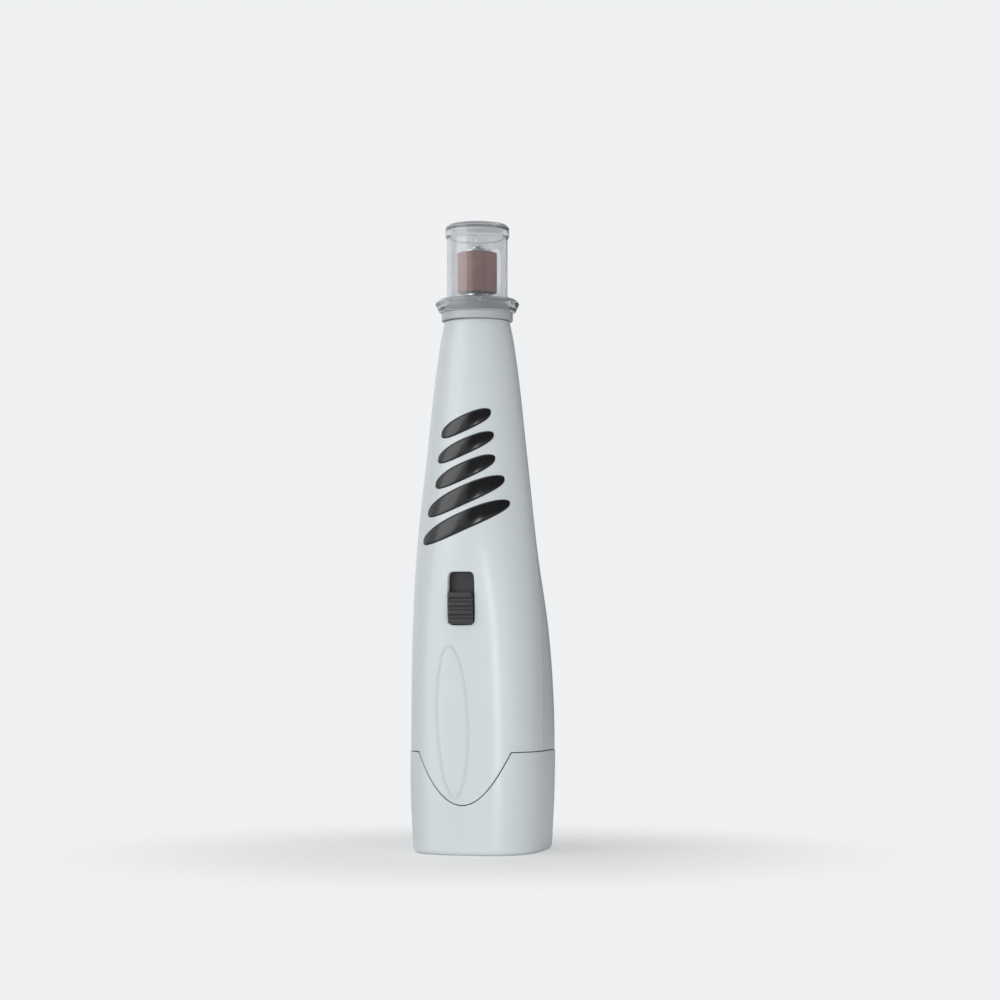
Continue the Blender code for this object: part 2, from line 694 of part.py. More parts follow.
pad_windows = pad_prisms("pad_windows", FIT)
pad_lands = pad_prisms("pad_lands", 0.0)
web_prism = front_prism("web_prism", web_corners(0.0), PAD_WEB_SIDE)
web_room_prism = front_prism("web_room_prism", web_corners(FIT), PAD_WEB_SIDE - FIT)
pad_levels = np.linspace(WAIST_Z, SHOULDER_Z, BODY_RINGS // 2 + 1)
web_room = loft("web_room", [outline(z, WALL / 2) for z in pad_levels])
shell(web_room, WALL / 2 + FIT + PAD_WEB + FIT)
keep_inside(web_room, web_room_prism)
for rib in motor_ribs:
    cut(rib, web_room_prism)
cut(bulkhead, web_room)

# ---- Screw bosses ----
screw_places = [
    (side * x, z)
    for x, z in ((LOW_SCREW_X, SWITCH_Z - LOW_SCREW_DROP), (HIGH_SCREW_X, BODY_TOP - HIGH_SCREW_DROP))
    for side in (-1.0, 1.0)
]
SHANK_ROOM = SCREW_RADIUS + FIT
HEAD_ROOM = SCREW_HEAD_RADIUS + FIT
shank_holes = pins("shank_holes", screw_places, SHANK_ROOM, SCREW_SEAT_Y - SCREW_LENGTH - FIT, BIG, COARSE)
head_holes = pins("head_holes", screw_places, HEAD_ROOM, SCREW_SEAT_Y, BIG, FINE)
fitting_levels = np.linspace(HEEL_Z, BODY_TOP, BODY_RINGS // 2 + 2)
mid_wall = loft("mid_wall", [outline(z, WALL / 2) for z in fitting_levels], floor=True, roof=True)


def bosses(name, side):
    """Screw bosses from the split plane into the wall; side is -1 at the front, 1 at the back."""
    bm = bmesh.new()
    for x, z in screw_places:
        add_pin(bm, (x, z), BOSS_RADIUS, side * FIT, side * BIG, FINE)
    group_of_bosses = from_bmesh(name, bm)
    keep_inside(group_of_bosses, mid_wall)
    return group_of_bosses


# ---- Switch window, knob plate and control board: their places behind the front wall ----
WINDOW_LOW = SWITCH_Z - (KNOB_HEIGHT + SWITCH_TRAVEL) / 2 - FIT
WINDOW_HIGH = SWITCH_Z + (KNOB_HEIGHT + SWITCH_TRAVEL) / 2 + FIT
KNOB_LOW = WINDOW_LOW + FIT
KNOB_HIGH = KNOB_LOW + KNOB_HEIGHT
KNOB_MIDDLE = (KNOB_LOW + KNOB_HIGH) / 2
PLATE_LOW = KNOB_LOW - SWITCH_TRAVEL - KNOB_PLATE_LAP
PLATE_HIGH = KNOB_HIGH + SWITCH_TRAVEL + KNOB_PLATE_LAP
PLATE_FRONT_Y = front_y(PLATE_LOW, KNOB_PLATE_WIDTH / 2, WALL) + FIT
PLATE_BACK_Y = PLATE_FRONT_Y + KNOB_PLATE
KNOB_FACE_Y = front_y(SWITCH_Z) - KNOB_PROUD
FORK_END_Y = PLATE_BACK_Y + FORK_DEPTH
LEVER_TIP_Y = PLATE_BACK_Y + FIT
LEVER_END_Y = LEVER_TIP_Y + LEVER_LENGTH
SLIDER_FRONT_Y = FORK_END_Y + FIT
SLIDER_BACK_Y = SLIDER_FRONT_Y + SLIDER_DEPTH
BOARD_FRONT_Y = SLIDER_BACK_Y + FIT
BOARD_BACK_Y = BOARD_FRONT_Y + BOARD_THICKNESS
board_corners = [
    (side * (BOARD_WIDTH / 2 - BOARD_BOSS_SIDE), z)
    for side in (-1.0, 1.0)
    for z in (BOARD_LOW + BOARD_BOSS_EDGE, BOARD_HIGH - BOARD_BOSS_EDGE)
]
board_bosses = pins("board_bosses", board_corners, BOARD_BOSS_RADIUS, -BIG, BOARD_FRONT_Y - FIT, COARSE)
keep_inside(board_bosses, mid_wall)
BOARD_SCREW_HOLE = BOARD_SCREW_RADIUS + FIT
BOARD_SCREW_END_Y = BOARD_BACK_Y + FIT - BOARD_SCREW_LENGTH
board_screw_holes = pins(
    "board_screw_holes", board_corners, BOARD_SCREW_HOLE, BOARD_SCREW_END_Y - FIT, BOARD_BACK_Y + BIG / 4,
    COARSE,
)
switch_window = box(
    "switch_window",
    (-KNOB_WIDTH / 2 - FIT, -BIG, WINDOW_LOW),
    (KNOB_WIDTH / 2 + FIT, PLATE_FRONT_Y, WINDOW_HIGH),
)


# ---- The two housing mouldings ----
def half_of(fitting, label, other_side):
    """The part of a rib or lip that belongs to one moulding, just short of the split."""
    half = fitting.copy()
    half.name = f"{fitting.name}_{label}"
    CUTTERS.objects.link(half)
    cut(half, other_side)
    return half


def housing_half(name, below_seam, other_wall, other_fittings, fittings):
    """One housing moulding: its wall cut at the cover's seam and at the split, with its inner fittings."""
    rings = [outline(z) for z in np.linspace(COVER_TOP - TONGUE_DROP, BODY_TOP, BODY_RINGS)]
    rings += [circle(BODY_TOP, SPIGOT_RADIUS), circle(SPIGOT_TOP, SPIGOT_RADIUS)]
    half = loft(name, rings, material=GREY_ABS, carrier=HOUSING)
    shell(half, WALL)
    cut(half, below_seam, other_wall)
    label = name.partition("_")[0]
    join(half, *[half_of(fitting, label, other_fittings) for fitting in (lip, lip_bridge, *ribs)], *fittings)
    cut(half, shank_holes)
    return half


front_housing = housing_half(
    "front_housing", below_seam_front, rear_space, behind_fittings, [bosses("front_bosses", -1.0), board_bosses]
)
cut(front_housing, board_screw_holes, pad_windows, switch_window)
rear_housing = housing_half(
    "rear_housing", below_seam_rear, front_space, ahead_of_fittings, [bosses("rear_bosses", 1.0)]
)
neck_holes = []
for side in (-1.0, 1.0):
    turn = Matrix.Rotation(side * NECK_HOLE_SPREAD / 2, 4, "Z") @ Matrix.Rotation(-math.pi / 2, 4, "X")
    hole = rod(f"neck_hole_{'left' if side < 0 else 'right'}", NECK_HOLE_RADIUS, BEARING_RADIUS * 2, BIG, COARSE)
    hole.matrix_world = Matrix.Translation((0.0, 0.0, BODY_TOP - NECK_HOLE_DROP)) @ turn
    neck_holes.append(hole)
cut(rear_housing, head_holes, *neck_holes)

# ---- Grip insert: five rubber pads on one web behind the wall ----
grip_insert = loft(
    "grip_insert", [outline(z, WALL + FIT) for z in pad_levels], material=GRIP_RUBBER, carrier=HOUSING
)
shell(grip_insert, PAD_WEB)
keep_inside(grip_insert, web_prism)
lands = loft("lands", [outline(z) for z in pad_levels])
shell(lands, WALL + FIT + PAD_WEB / 2)
keep_inside(lands, pad_lands)
join(grip_insert, lands)

# ---- Battery cover: a cup that slides up over the housing's lip ----
cover_rings = []
for step in range(4):
    turn = step * math.pi / 6
    height = COVER_EDGE * (1 - math.cos(turn))
    cover_rings.append(outline(height, COVER_EDGE * (1 - math.sin(turn)) - COVER_PROUD))
cover_rings += [outline(z, -COVER_PROUD) for z in (HEEL_Z, COVER_TOP)]
battery_cover = loft("battery_cover", cover_rings, floor=True, material=COVER_ABS, carrier=COVER)
shell(battery_cover, WALL)
cut(battery_cover, tongue_space)
ridge_bm = bmesh.new()
for index in range(GRIP_RIDGES):
    ridge_z = RIDGE_FIRST_Z + index * RIDGE_PITCH
    ridge_y = form(ridge_z)[2] + COVER_PROUD
    matrix = Matrix.Translation((0.0, ridge_y - RIDGE_RADIUS / 2, ridge_z)) @ Matrix.Rotation(
        math.pi / 2, 4, "Y"
    )
    bmesh.ops.create_cone(
        ridge_bm, cap_ends=True, segments=8, radius1=RIDGE_RADIUS, radius2=RIDGE_RADIUS,
        depth=2 * RIDGE_HALF_WIDTH, matrix=matrix,
    )
thumb_ridges = from_bmesh("thumb_ridges", ridge_bm)
join(battery_cover, thumb_ridges)

# ---- Collar that holds the two mouldings together at the neck ----
neck_collar = turned(
    "neck_collar",
    [
        (COLLAR_LIP_RADIUS, COLLAR_TOP),
        (COLLAR_LIP_RADIUS, COLLAR_STEP),
        (COLLAR_RADIUS, COLLAR_STEP),
        (COLLAR_RADIUS, COLLAR_BOTTOM),
        (SPIGOT_RADIUS + FIT, COLLAR_BOTTOM),
        (SPIGOT_RADIUS + FIT, HOLDER_TOP + FIT),
        (COLLAR_LIP_BORE, HOLDER_TOP + FIT),
        (COLLAR_LIP_BORE, COLLAR_TOP),
    ],
    ROUND, COLLAR_ABS, HOUSING,
)

# ---- Clear guard: a hood with a window for the claw, pulled off along the spindle ----
GUARD_RADIUS = GUARD_BORE + GUARD_WALL
SLEEVE_BORE = COLLAR_LIP_RADIUS + GUARD_SLIP
FLANGE_TOP = GUARD_BOTTOM + GUARD_FLANGE_HEIGHT
guard = turned(
    "guard",
    [
        (0.0, GUARD_END),
        (GUARD_RADIUS - GUARD_RIM_PROUD, GUARD_END),
        (GUARD_RADIUS + GUARD_RIM_PROUD, GUARD_END - 2 * GUARD_RIM_PROUD),
        (GUARD_RADIUS + GUARD_RIM_PROUD, GUARD_END - GUARD_RIM + GUARD_RIM_PROUD),
        (GUARD_RADIUS, GUARD_END - GUARD_RIM),
        (GUARD_RADIUS, FLANGE_TOP),
        (GUARD_FLANGE_RADIUS - GUARD_WALL, FLANGE_TOP),
        (GUARD_FLANGE_RADIUS, FLANGE_TOP - GUARD_WALL),
        (GUARD_FLANGE_RADIUS - GUARD_WALL, GUARD_BOTTOM),
        (SLEEVE_BORE, GUARD_BOTTOM),
        (SLEEVE_BORE, GUARD_SEAT),
        (GUARD_BORE, GUARD_SEAT),
        (GUARD_BORE, GUARD_END - GUARD_TOP),
        (0.0, GUARD_END - GUARD_TOP),
    ],
    ROUND, CLEAR_PLASTIC, GUARD,
)
window_bm = bmesh.new()
add_box(
    window_bm,
    (-WINDOW_HALF_WIDTH, SPINDLE_RADIUS, GUARD_BOTTOM + WINDOW_BOTTOM),
    (WINDOW_HALF_WIDTH, BIG, GUARD_BOTTOM + WINDOW_BOTTOM + WINDOW_HEIGHT),
)
along_y = [e for e in window_bm.edges if abs(e.verts[0].co.y - e.verts[1].co.y) > MERGE]
bmesh.ops.bevel(
    window_bm, geom=along_y, offset=WINDOW_CORNER, segments=3, affect="EDGES", profile=0.5
)
nail_window = from_bmesh("nail_window", window_bm)
cut(guard, nail_window)

# ---- Nose holder: carries both spindle bearings and the light ----
SLEEVE_RADIUS = BEARING_RADIUS + FIT + SLEEVE_WALL
SHELL_BORE = SPIGOT_RADIUS - WALL
nose_holder = turned(
    "nose_holder",
    [
        (SPIGOT_RADIUS - FIT, HOLDER_TOP),
        (SPIGOT_RADIUS - FIT, HOLDER_BOTTOM),
        (SHELL_BORE - FIT, HOLDER_BOTTOM),
        (SHELL_BORE - FIT, HOLDER_BOTTOM - HOLDER_FLANGE),
        (SLEEVE_RADIUS, HOLDER_BOTTOM - HOLDER_FLANGE),
        (SLEEVE_RADIUS, SLEEVE_BOTTOM),
        (BEARING_RADIUS + FIT, SLEEVE_BOTTOM),
        (BEARING_RADIUS + FIT, FRONT_BEARING_TOP + FIT),
        (SPINDLE_RADIUS + RUNNING, FRONT_BEARING_TOP + FIT),
        (SPINDLE_RADIUS + RUNNING, HOLDER_TOP),
    ],
    ROUND, CARRIER_ABS, HOUSING,
)
LED_BOTTOM = HOLDER_TOP + FIT
LEAD_BOTTOM = LED_BOTTOM - LEAD_LENGTH
lead_x = [side * LEAD_PITCH / 2 for side in (-1.0, 1.0)]
half_lead = LEAD_THICKNESS / 2
lead_holes = boxes(
    "lead_holes",
    [
        (
            (x - half_lead - FIT, LED_FROM_AXIS - half_lead - FIT, HOLDER_BOTTOM - HOLDER_FLANGE - FIT),
            (x + half_lead + FIT, LED_FROM_AXIS + half_lead + FIT, HOLDER_TOP + FIT),
        )
        for x in lead_x
    ],
)
cut(nose_holder, lead_holes)

led_profile = [
    (LED_RADIUS * math.sin(turn), LED_BOTTOM + LED_HEIGHT - LED_RADIUS * (1 - math.cos(turn)))
    for turn in (0.0, math.pi / 6, math.pi / 3, math.pi / 2)
]
led = turned("led", [*led_profile, (LED_RADIUS, LED_BOTTOM), (0.0, LED_BOTTOM)], COARSE, LED_EPOXY, HOUSING)
led.location.y = LED_FROM_AXIS
led_leads = boxes(
    "led_leads",
    [
        (
            (x - half_lead, LED_FROM_AXIS - half_lead, LEAD_BOTTOM),
            (x + half_lead, LED_FROM_AXIS + half_lead, LED_BOTTOM + LED_HEIGHT / 2),
        )
        for x in lead_x
    ],
)
join(led, led_leads)
nose_seal = ring(
    "nose_seal", SPINDLE_RADIUS + FIT, SEAL_RADIUS, SEAL_BOTTOM, SEAL_TOP, FINE, FELT, HOUSING
)

# ---- Spindle bearings: two races each ----
for label, bottom in (("front", FRONT_BEARING_BOTTOM), ("rear", REAR_BEARING_BOTTOM)):
    top = bottom + BEARING_WIDTH
    ring(
        f"{label}_bearing_outer", BEARING_RADIUS - BEARING_RACE, BEARING_RADIUS, bottom, top, FINE,
        STEEL, HOUSING,
    )
    ring(
        f"{label}_bearing_inner", SPINDLE_RADIUS + FIT, SPINDLE_RADIUS + FIT + BEARING_RACE, bottom, top,
        FINE, STEEL, SPINDLE,
    )

# ---- Mandrel, drum, sanding band and the screw that clamps them ----
SCREW_BORE = DRUM_SCREW_RADIUS + FIT
SCREW_BORE_BOTTOM = WASHER_TOP + FIT - DRUM_SCREW_LENGTH - FIT
mandrel = turned(
    "mandrel",
    [
        (0.0, SCREW_BORE_BOTTOM),
        (SCREW_BORE, SCREW_BORE_BOTTOM),
        (SCREW_BORE, MANDREL_TOP),
        (SPINDLE_RADIUS, MANDREL_TOP),
        (SPINDLE_RADIUS, SHOULDER_TOP),
        (SHOULDER_RADIUS, SHOULDER_TOP),
        (SHOULDER_RADIUS, SHOULDER_BOTTOM),
        (SPINDLE_RADIUS, SHOULDER_BOTTOM),
        (SPINDLE_RADIUS, MANDREL_BOTTOM),
        (0.0, MANDREL_BOTTOM),
    ],
    FINE, STEEL, SPINDLE,
)
BAND_BORE = BAND_RADIUS - BAND_THICKNESS
drum_core = ring(
    "drum_core", SPINDLE_RADIUS + FIT, BAND_BORE - FIT, DRUM_BOTTOM, DRUM_TOP, ROUND, RUBBER, SPINDLE
)
sanding_band = ring(
    "sanding_band", BAND_BORE, BAND_RADIUS, DRUM_BOTTOM, DRUM_TOP, ROUND, ABRASIVE, SPINDLE
)
drum_washer = ring(
    "drum_washer", SCREW_BORE, WASHER_RADIUS, WASHER_BOTTOM, WASHER_TOP, FINE, STEEL, SPINDLE
)
SCREW_SEAT = WASHER_TOP + FIT
drum_screw = turned(
    "drum_screw",
    [
        (0.0, SCREW_SEAT + DRUM_SCREW_HEAD_HEIGHT),
        (DRUM_SCREW_HEAD / 2, SCREW_SEAT + DRUM_SCREW_HEAD_HEIGHT * 0.93),
        (DRUM_SCREW_HEAD * 0.87, SCREW_SEAT + DRUM_SCREW_HEAD_HEIGHT * 0.65),
        (DRUM_SCREW_HEAD, SCREW_SEAT + DRUM_SCREW_HEAD_HEIGHT * 0.2),
        (DRUM_SCREW_HEAD, SCREW_SEAT),
        (DRUM_SCREW_RADIUS, SCREW_SEAT),
        (DRUM_SCREW_RADIUS, SCREW_SEAT - DRUM_SCREW_LENGTH),
        (0.0, SCREW_SEAT - DRUM_SCREW_LENGTH),
    ],
    COARSE, STEEL, SPINDLE,
)
shaft_coupling = turned(
    "shaft_coupling",
    [
        (COUPLING_RADIUS, COUPLING_TOP),
        (COUPLING_RADIUS, COUPLING_BOTTOM),
        (SHAFT_BORE, COUPLING_BOTTOM),
        (SHAFT_BORE, COUPLING_STEP),
        (SPINDLE_RADIUS + FIT, COUPLING_STEP),
        (SPINDLE_RADIUS + FIT, COUPLING_TOP),
    ],
    FINE, BRASS, SPINDLE,
)

# ---- Motor: can with two magnets, three-pole armature, commutator, brushes and end cap ----
motor_can = turned(
    "motor_can",
    [
        (MOTOR_BOSS_RADIUS, MOTOR_TOP + MOTOR_BOSS_HEIGHT),
        (MOTOR_BOSS_RADIUS, MOTOR_TOP),
        (MOTOR_RADIUS, MOTOR_TOP),
        (MOTOR_RADIUS, CAN_BOTTOM + FIT),
        (CAN_BORE, CAN_BOTTOM + FIT),
        (CAN_BORE, MOTOR_TOP - MOTOR_CAN_WALL),
        (SHAFT_BORE, MOTOR_TOP - MOTOR_CAN_WALL),
        (SHAFT_BORE, MOTOR_TOP + MOTOR_BOSS_HEIGHT),
    ],
    FINE, MOTOR_STEEL, HOUSING,
)
motor_endbell = turned(
    "motor_endbell",
    [
        (CAN_BORE - FIT, ENDBELL_TOP),
        (CAN_BORE - FIT, CAN_BOTTOM),
        (MOTOR_RADIUS, CAN_BOTTOM),
        (MOTOR_RADIUS, MOTOR_BOTTOM),
        (SHAFT_BORE, MOTOR_BOTTOM),
        (SHAFT_BORE, ENDBELL_TOP),
    ],
    FINE, CHIP_BLACK, HOUSING,
)
ARMATURE_BOTTOM = MOTOR_BOTTOM + ARMATURE_LIFT
ARMATURE_TOP = ARMATURE_BOTTOM + ARMATURE_HEIGHT
MAGNET_BOTTOM = (ARMATURE_BOTTOM + ARMATURE_TOP - MAGNET_HEIGHT) / 2
for label, side in (("front", -1.0), ("rear", 1.0)):
    magnet = ring(
        f"motor_magnet_{label}", MAGNET_OUTSIDE - MAGNET_THICKNESS, MAGNET_OUTSIDE, MAGNET_BOTTOM,
        MAGNET_BOTTOM + MAGNET_HEIGHT, ROUND, FERRITE, HOUSING,
    )
    near, far = sorted((side * MAGNET_GAP / 2, -side * BIG))
    cut(magnet, box(f"magnet_{label}_gap", (-BIG, near, 0.0), (BIG, far, BIG * 4)))
motor_shaft = rod(
    "motor_shaft", MOTOR_SHAFT_RADIUS, MOTOR_BOTTOM - MOTOR_SHAFT_TAIL, MOTOR_SHAFT_TOP, COARSE, STEEL,
    SPINDLE,
)
armature_core = ring(
    "armature_core", SHAFT_BORE, ARMATURE_RADIUS, ARMATURE_BOTTOM, ARMATURE_TOP, ROUND, MOTOR_STEEL, SPINDLE
)


def three_blocks(name, inner, outer, width, bottom, top, material=None, carrier=None):
    bm = bmesh.new()
    for index in range(3):
        turn = Matrix.Rotation(index * 2 * math.pi / 3, 4, "Z")
        add_box(bm, (inner, -width / 2, bottom), (outer, width / 2, top), turn)
    return from_bmesh(name, bm, material, carrier)


slots = three_blocks("armature_slots", ARMATURE_HUB, BIG, ARMATURE_SLOT, ARMATURE_BOTTOM - RIB, ARMATURE_TOP + RIB)
cut(armature_core, slots)
WINDING_TOP = ARMATURE_TOP + FIT + WINDING_OVERHANG
armature_windings = ring(
    "armature_windings", ARMATURE_HUB + FIT, ARMATURE_RADIUS - FIT, ARMATURE_TOP + FIT, WINDING_TOP, FINE,
    COPPER, SPINDLE,
)
winding_legs = three_blocks(
    "winding_legs", ARMATURE_HUB + 2 * FIT, ARMATURE_RADIUS - 3 * FIT, ARMATURE_SLOT - 2 * FIT,
    ARMATURE_BOTTOM, ARMATURE_TOP + WINDING_OVERHANG / 2,
)
join(armature_windings, winding_legs)
COMMUTATOR_TOP = ARMATURE_BOTTOM - FIT
COMMUTATOR_BOTTOM = COMMUTATOR_TOP - COMMUTATOR_HEIGHT
commutator = ring(
    "commutator", SHAFT_BORE, COMMUTATOR_RADIUS, COMMUTATOR_BOTTOM, COMMUTATOR_TOP, COARSE, COPPER, SPINDLE
)
BRUSH_INNER = COMMUTATOR_RADIUS + FIT
BRUSH_BOTTOM = ENDBELL_TOP + FIT
TERMINAL_TOP = MOTOR_BOTTOM - FIT
for label, side in SIDES:
    near, far = sorted((side * BRUSH_INNER, side * (BRUSH_INNER + BRUSH_LENGTH)))
    box(
        f"motor_brush_{label}", (near, -BRUSH_WIDTH / 2, BRUSH_BOTTOM),
        (far, BRUSH_WIDTH / 2, BRUSH_BOTTOM + BRUSH_HEIGHT), FERRITE, HOUSING,
    )
    box(
        f"motor_terminal_{label}",
        (side * TERMINAL_SPREAD - PLATE_THICKNESS / 2, -BRUSH_WIDTH / 2, TERMINAL_TOP - TERMINAL_LENGTH),
        (side * TERMINAL_SPREAD + PLATE_THICKNESS / 2, BRUSH_WIDTH / 2, TERMINAL_TOP), BRASS, HOUSING,
    )
wire_notch = box(
    "wire_notch", (-LEAD_PITCH, SPINDLE_RADIUS, MOTOR_BOTTOM), (LEAD_PITCH, BIG, MOTOR_TOP)
)
for label, bottom in (("rear", REAR_MOUNT_Z), ("front", FRONT_MOUNT_Z)):
    mount = ring(
        f"motor_mount_{label}", MOTOR_RADIUS + FIT, MOTOR_RADIUS + FIT + MOUNT_THICKNESS, bottom,
        bottom + MOUNT_WIDTH, ROUND, RUBBER, HOUSING,
    )
    cut(mount, web_room, wire_notch)

# ---- Four cells in their carrier, two up and two down ----
cell_places = [
    (side_x * CELL_PITCH / 2, PACK_CENTRE_Y + side_y * CELL_PITCH / 2, side_x * side_y)
    for side_y in (-1.0, 1.0)
    for side_x in (-1.0, 1.0)
]
for index, (x, y, up) in enumerate(cell_places, start=1):
    nub, flat = (CELL_TOP, CELL_BOTTOM) if up > 0 else (CELL_BOTTOM, CELL_TOP)
    neck = nub - up * CELL_NUB_HEIGHT
    outline_of_cell = [
        (0.0, nub), (CELL_NUB_RADIUS, nub), (CELL_NUB_RADIUS, neck), (CELL_RADIUS, neck),
        (CELL_RADIUS, flat), (0.0, flat),
    ]
    if up < 0:
        outline_of_cell.reverse()
    cell = turned(f"cell_{index}", outline_of_cell, FINE, CELL_LABEL, HOUSING)
    cell.location = (x, y, 0.0)

battery_carrier = rounded_prism(
    "battery_carrier", PACK_CENTRE_Y, CARRIER_HALF, CARRIER_CORNER, CARRIER_FOOT, CARRIER_TOP,
    CARRIER_ABS, HOUSING,
)
pocket = rounded_prism(
    "contact_pocket", PACK_CENTRE_Y, CARRIER_HALF - CARRIER_WALL - FIT, CARRIER_BORE - FIT, CELL_TOP,
    CARRIER_POCKET_TOP,
)
cut(battery_carrier, pocket)
for index, (x, y, up) in enumerate(cell_places, start=1):
    bore = rod(f"cell_bore_{index}", CARRIER_BORE, 0.0, CELL_TOP + RIB, FINE)
    bore.location = (x, y, 0.0)
    cut(battery_carrier, bore)
wire_hole_y = PACK_CENTRE_Y - CELL_PITCH / 2
wire_holes = []
for side in (-1.0, 1.0):
    hole = rod(
        f"carrier_wire_hole_{'left' if side < 0 else 'right'}", CARRIER_WIRE_HOLE,
        CARRIER_POCKET_TOP - RIB, CARRIER_TOP + RIB, COARSE,
    )
    hole.location = (side * CELL_PITCH / 2, wire_hole_y, 0.0)
    wire_holes.append(hole)
cut(battery_carrier, *wire_holes)


# ---- Contacts: plates across each pair of cells, coil springs on the flat ends ----
PLATE_REACH = CELL_PITCH / 2 + PLATE_WIDTH / 2
PLATE_NEAR = CELL_PITCH / 2 - PLATE_WIDTH / 2


def contact_plate(name, low_x, high_x, side_y, bottom, carrier, bumps):
    """A flat contact behind one or two cells, with a raised seat for each nub that it meets."""
    middle_y = PACK_CENTRE_Y + side_y * CELL_PITCH / 2
    plate = box(
        name, (low_x, middle_y - PLATE_WIDTH / 2, bottom),
        (high_x, middle_y + PLATE_WIDTH / 2, bottom + PLATE_THICKNESS), BRASS, carrier,
    )
    for index, (x, low, high) in enumerate(bumps):
        bump = rod(f"{name}_bump_{index}", CELL_NUB_RADIUS, low, high, COARSE)
        bump.location = (x, middle_y, 0.0)
        join(plate, bump)


def contact_spring(name, x, y, low, high, wide_end_low, carrier):
    """A tapered coil, wide where it sits on its plate."""
    data = bpy.data.curves.new(name, "CURVE")
    data.dimensions = "3D"
    data.bevel_depth = SPRING_WIRE
    data.bevel_resolution = 1
    data.use_fill_caps = True
    count = round(SPRING_CURLS * 8)
    spline = data.splines.new("POLY")
    spline.points.add(count)
    for i in range(count + 1):
        share = i / count
        radius = SPRING_RADIUS + (SPRING_TIP_RADIUS - SPRING_RADIUS) * share
        turn = 2 * math.pi * SPRING_CURLS * share
        rise = (high - low - 2 * SPRING_WIRE) * share
        z = low + SPRING_WIRE + rise if wide_end_low else high - SPRING_WIRE - rise
        spline.points[i].co = (x + radius * math.cos(turn), y + radius * math.sin(turn), z, 1.0)
    place(bpy.data.objects.new(name, data), STEEL, carrier)


COVER_PLATE = WALL + FIT
COVER_PLATE_TOP = COVER_PLATE + PLATE_THICKNESS
TOP_PLATE = CARRIER_POCKET_TOP - FIT - PLATE_THICKNESS
COVER_BUMP = (COVER_PLATE + PLATE_THICKNESS / 2, CELL_BOTTOM - FIT)
TOP_BUMP = (CELL_TOP + FIT, TOP_PLATE + PLATE_THICKNESS / 2)
for label, side_y in (("front", -1.0), ("rear", 1.0)):
    down_x = [x for x, y, up in cell_places if up < 0 and (y - PACK_CENTRE_Y) * side_y > 0]
    contact_plate(
        f"cover_contact_{label}", -PLATE_REACH, PLATE_REACH, side_y, COVER_PLATE, COVER,
        [(x, *COVER_BUMP) for x in down_x],
    )
contact_plate(
    "top_contact_rear", -PLATE_REACH, PLATE_REACH, 1.0, TOP_PLATE, HOUSING,
    [(x, *TOP_BUMP) for x, y, up in cell_places if up > 0 and y > PACK_CENTRE_Y],
)
for label, side in SIDES:
    near, far = sorted((side * PLATE_NEAR, side * PLATE_REACH))
    contact_plate(
        f"top_contact_{label}", near, far, -1.0, TOP_PLATE, HOUSING,
        [(x, *TOP_BUMP) for x, y, up in cell_places if up > 0 and y < PACK_CENTRE_Y and x * side > 0],
    )
for index, (x, y, up) in enumerate(cell_places, start=1):
    if up > 0:
        contact_spring(f"cover_spring_{index}", x, y, COVER_PLATE_TOP + FIT, CELL_BOTTOM - FIT, True, COVER)
    else:
        contact_spring(f"top_spring_{index}", x, y, CELL_TOP + FIT, TOP_PLATE - FIT, False, HOUSING)

# ---- Slide switch: knob in the window, lever and body on the control board ----
knob_bm = bmesh.new()
knob_face = (
    (-KNOB_WIDTH / 2, KNOB_FACE_Y, KNOB_LOW),
    (KNOB_WIDTH / 2, (PLATE_FRONT_Y + PLATE_BACK_Y) / 2, KNOB_HIGH),
)
add_box(knob_bm, *knob_face)
switch_knob = from_bmesh("switch_knob", knob_bm, SWITCH_ABS, SWITCH)
knob_plate = box(
    "knob_plate", (-KNOB_PLATE_WIDTH / 2, PLATE_FRONT_Y, PLATE_LOW), (KNOB_PLATE_WIDTH / 2, PLATE_BACK_Y, PLATE_HIGH)
)
FORK_INNER = LEVER / 2 + FIT
knob_fork = boxes(
    "knob_fork",
    [
        (
            (-LEVER, (PLATE_FRONT_Y + PLATE_BACK_Y) / 2, KNOB_MIDDLE + low),
            (LEVER, FORK_END_Y, KNOB_MIDDLE + high),
        )
        for low, high in ((-FORK_INNER - KNOB_PLATE, -FORK_INNER), (FORK_INNER, FORK_INNER + KNOB_PLATE))
    ],
)
knob_grooves = boxes(
    "knob_grooves",
    [
        (
            (-BIG, -BIG, KNOB_MIDDLE + (step - (KNOB_RIDGES - 1) / 2) * KNOB_RIDGE_PITCH - KNOB_RIDGE / 2),
            (
                BIG, KNOB_FACE_Y + KNOB_RIDGE / 2,
                KNOB_MIDDLE + (step - (KNOB_RIDGES - 1) / 2) * KNOB_RIDGE_PITCH + KNOB_RIDGE / 2,
            ),
        )
        for step in range(KNOB_RIDGES)
    ],
)
join(switch_knob, knob_plate, knob_fork)
cut(switch_knob, knob_grooves)
switch_lever = box(
    "switch_lever",
    (-LEVER / 2, LEVER_TIP_Y, KNOB_MIDDLE - LEVER / 2),
    (LEVER / 2, LEVER_END_Y, KNOB_MIDDLE + LEVER / 2),
    SWITCH_ABS, SWITCH,
)
switch_body = box(
    "switch_body",
    (-SLIDER_WIDTH / 2, SLIDER_FRONT_Y, SWITCH_Z - SLIDER_HEIGHT / 2),
    (SLIDER_WIDTH / 2, SLIDER_BACK_Y, SWITCH_Z + SLIDER_HEIGHT / 2),
    STEEL, HOUSING,
)
lever_slot = box(
    "lever_slot",
    (-LEVER / 2 - FIT, SLIDER_FRONT_Y - FIT, KNOB_MIDDLE - LEVER / 2 - FIT),
    (LEVER / 2 + FIT, LEVER_END_Y + FIT, KNOB_MIDDLE + SWITCH_TRAVEL + LEVER / 2 + FIT),
)
cut(switch_body, lever_slot)
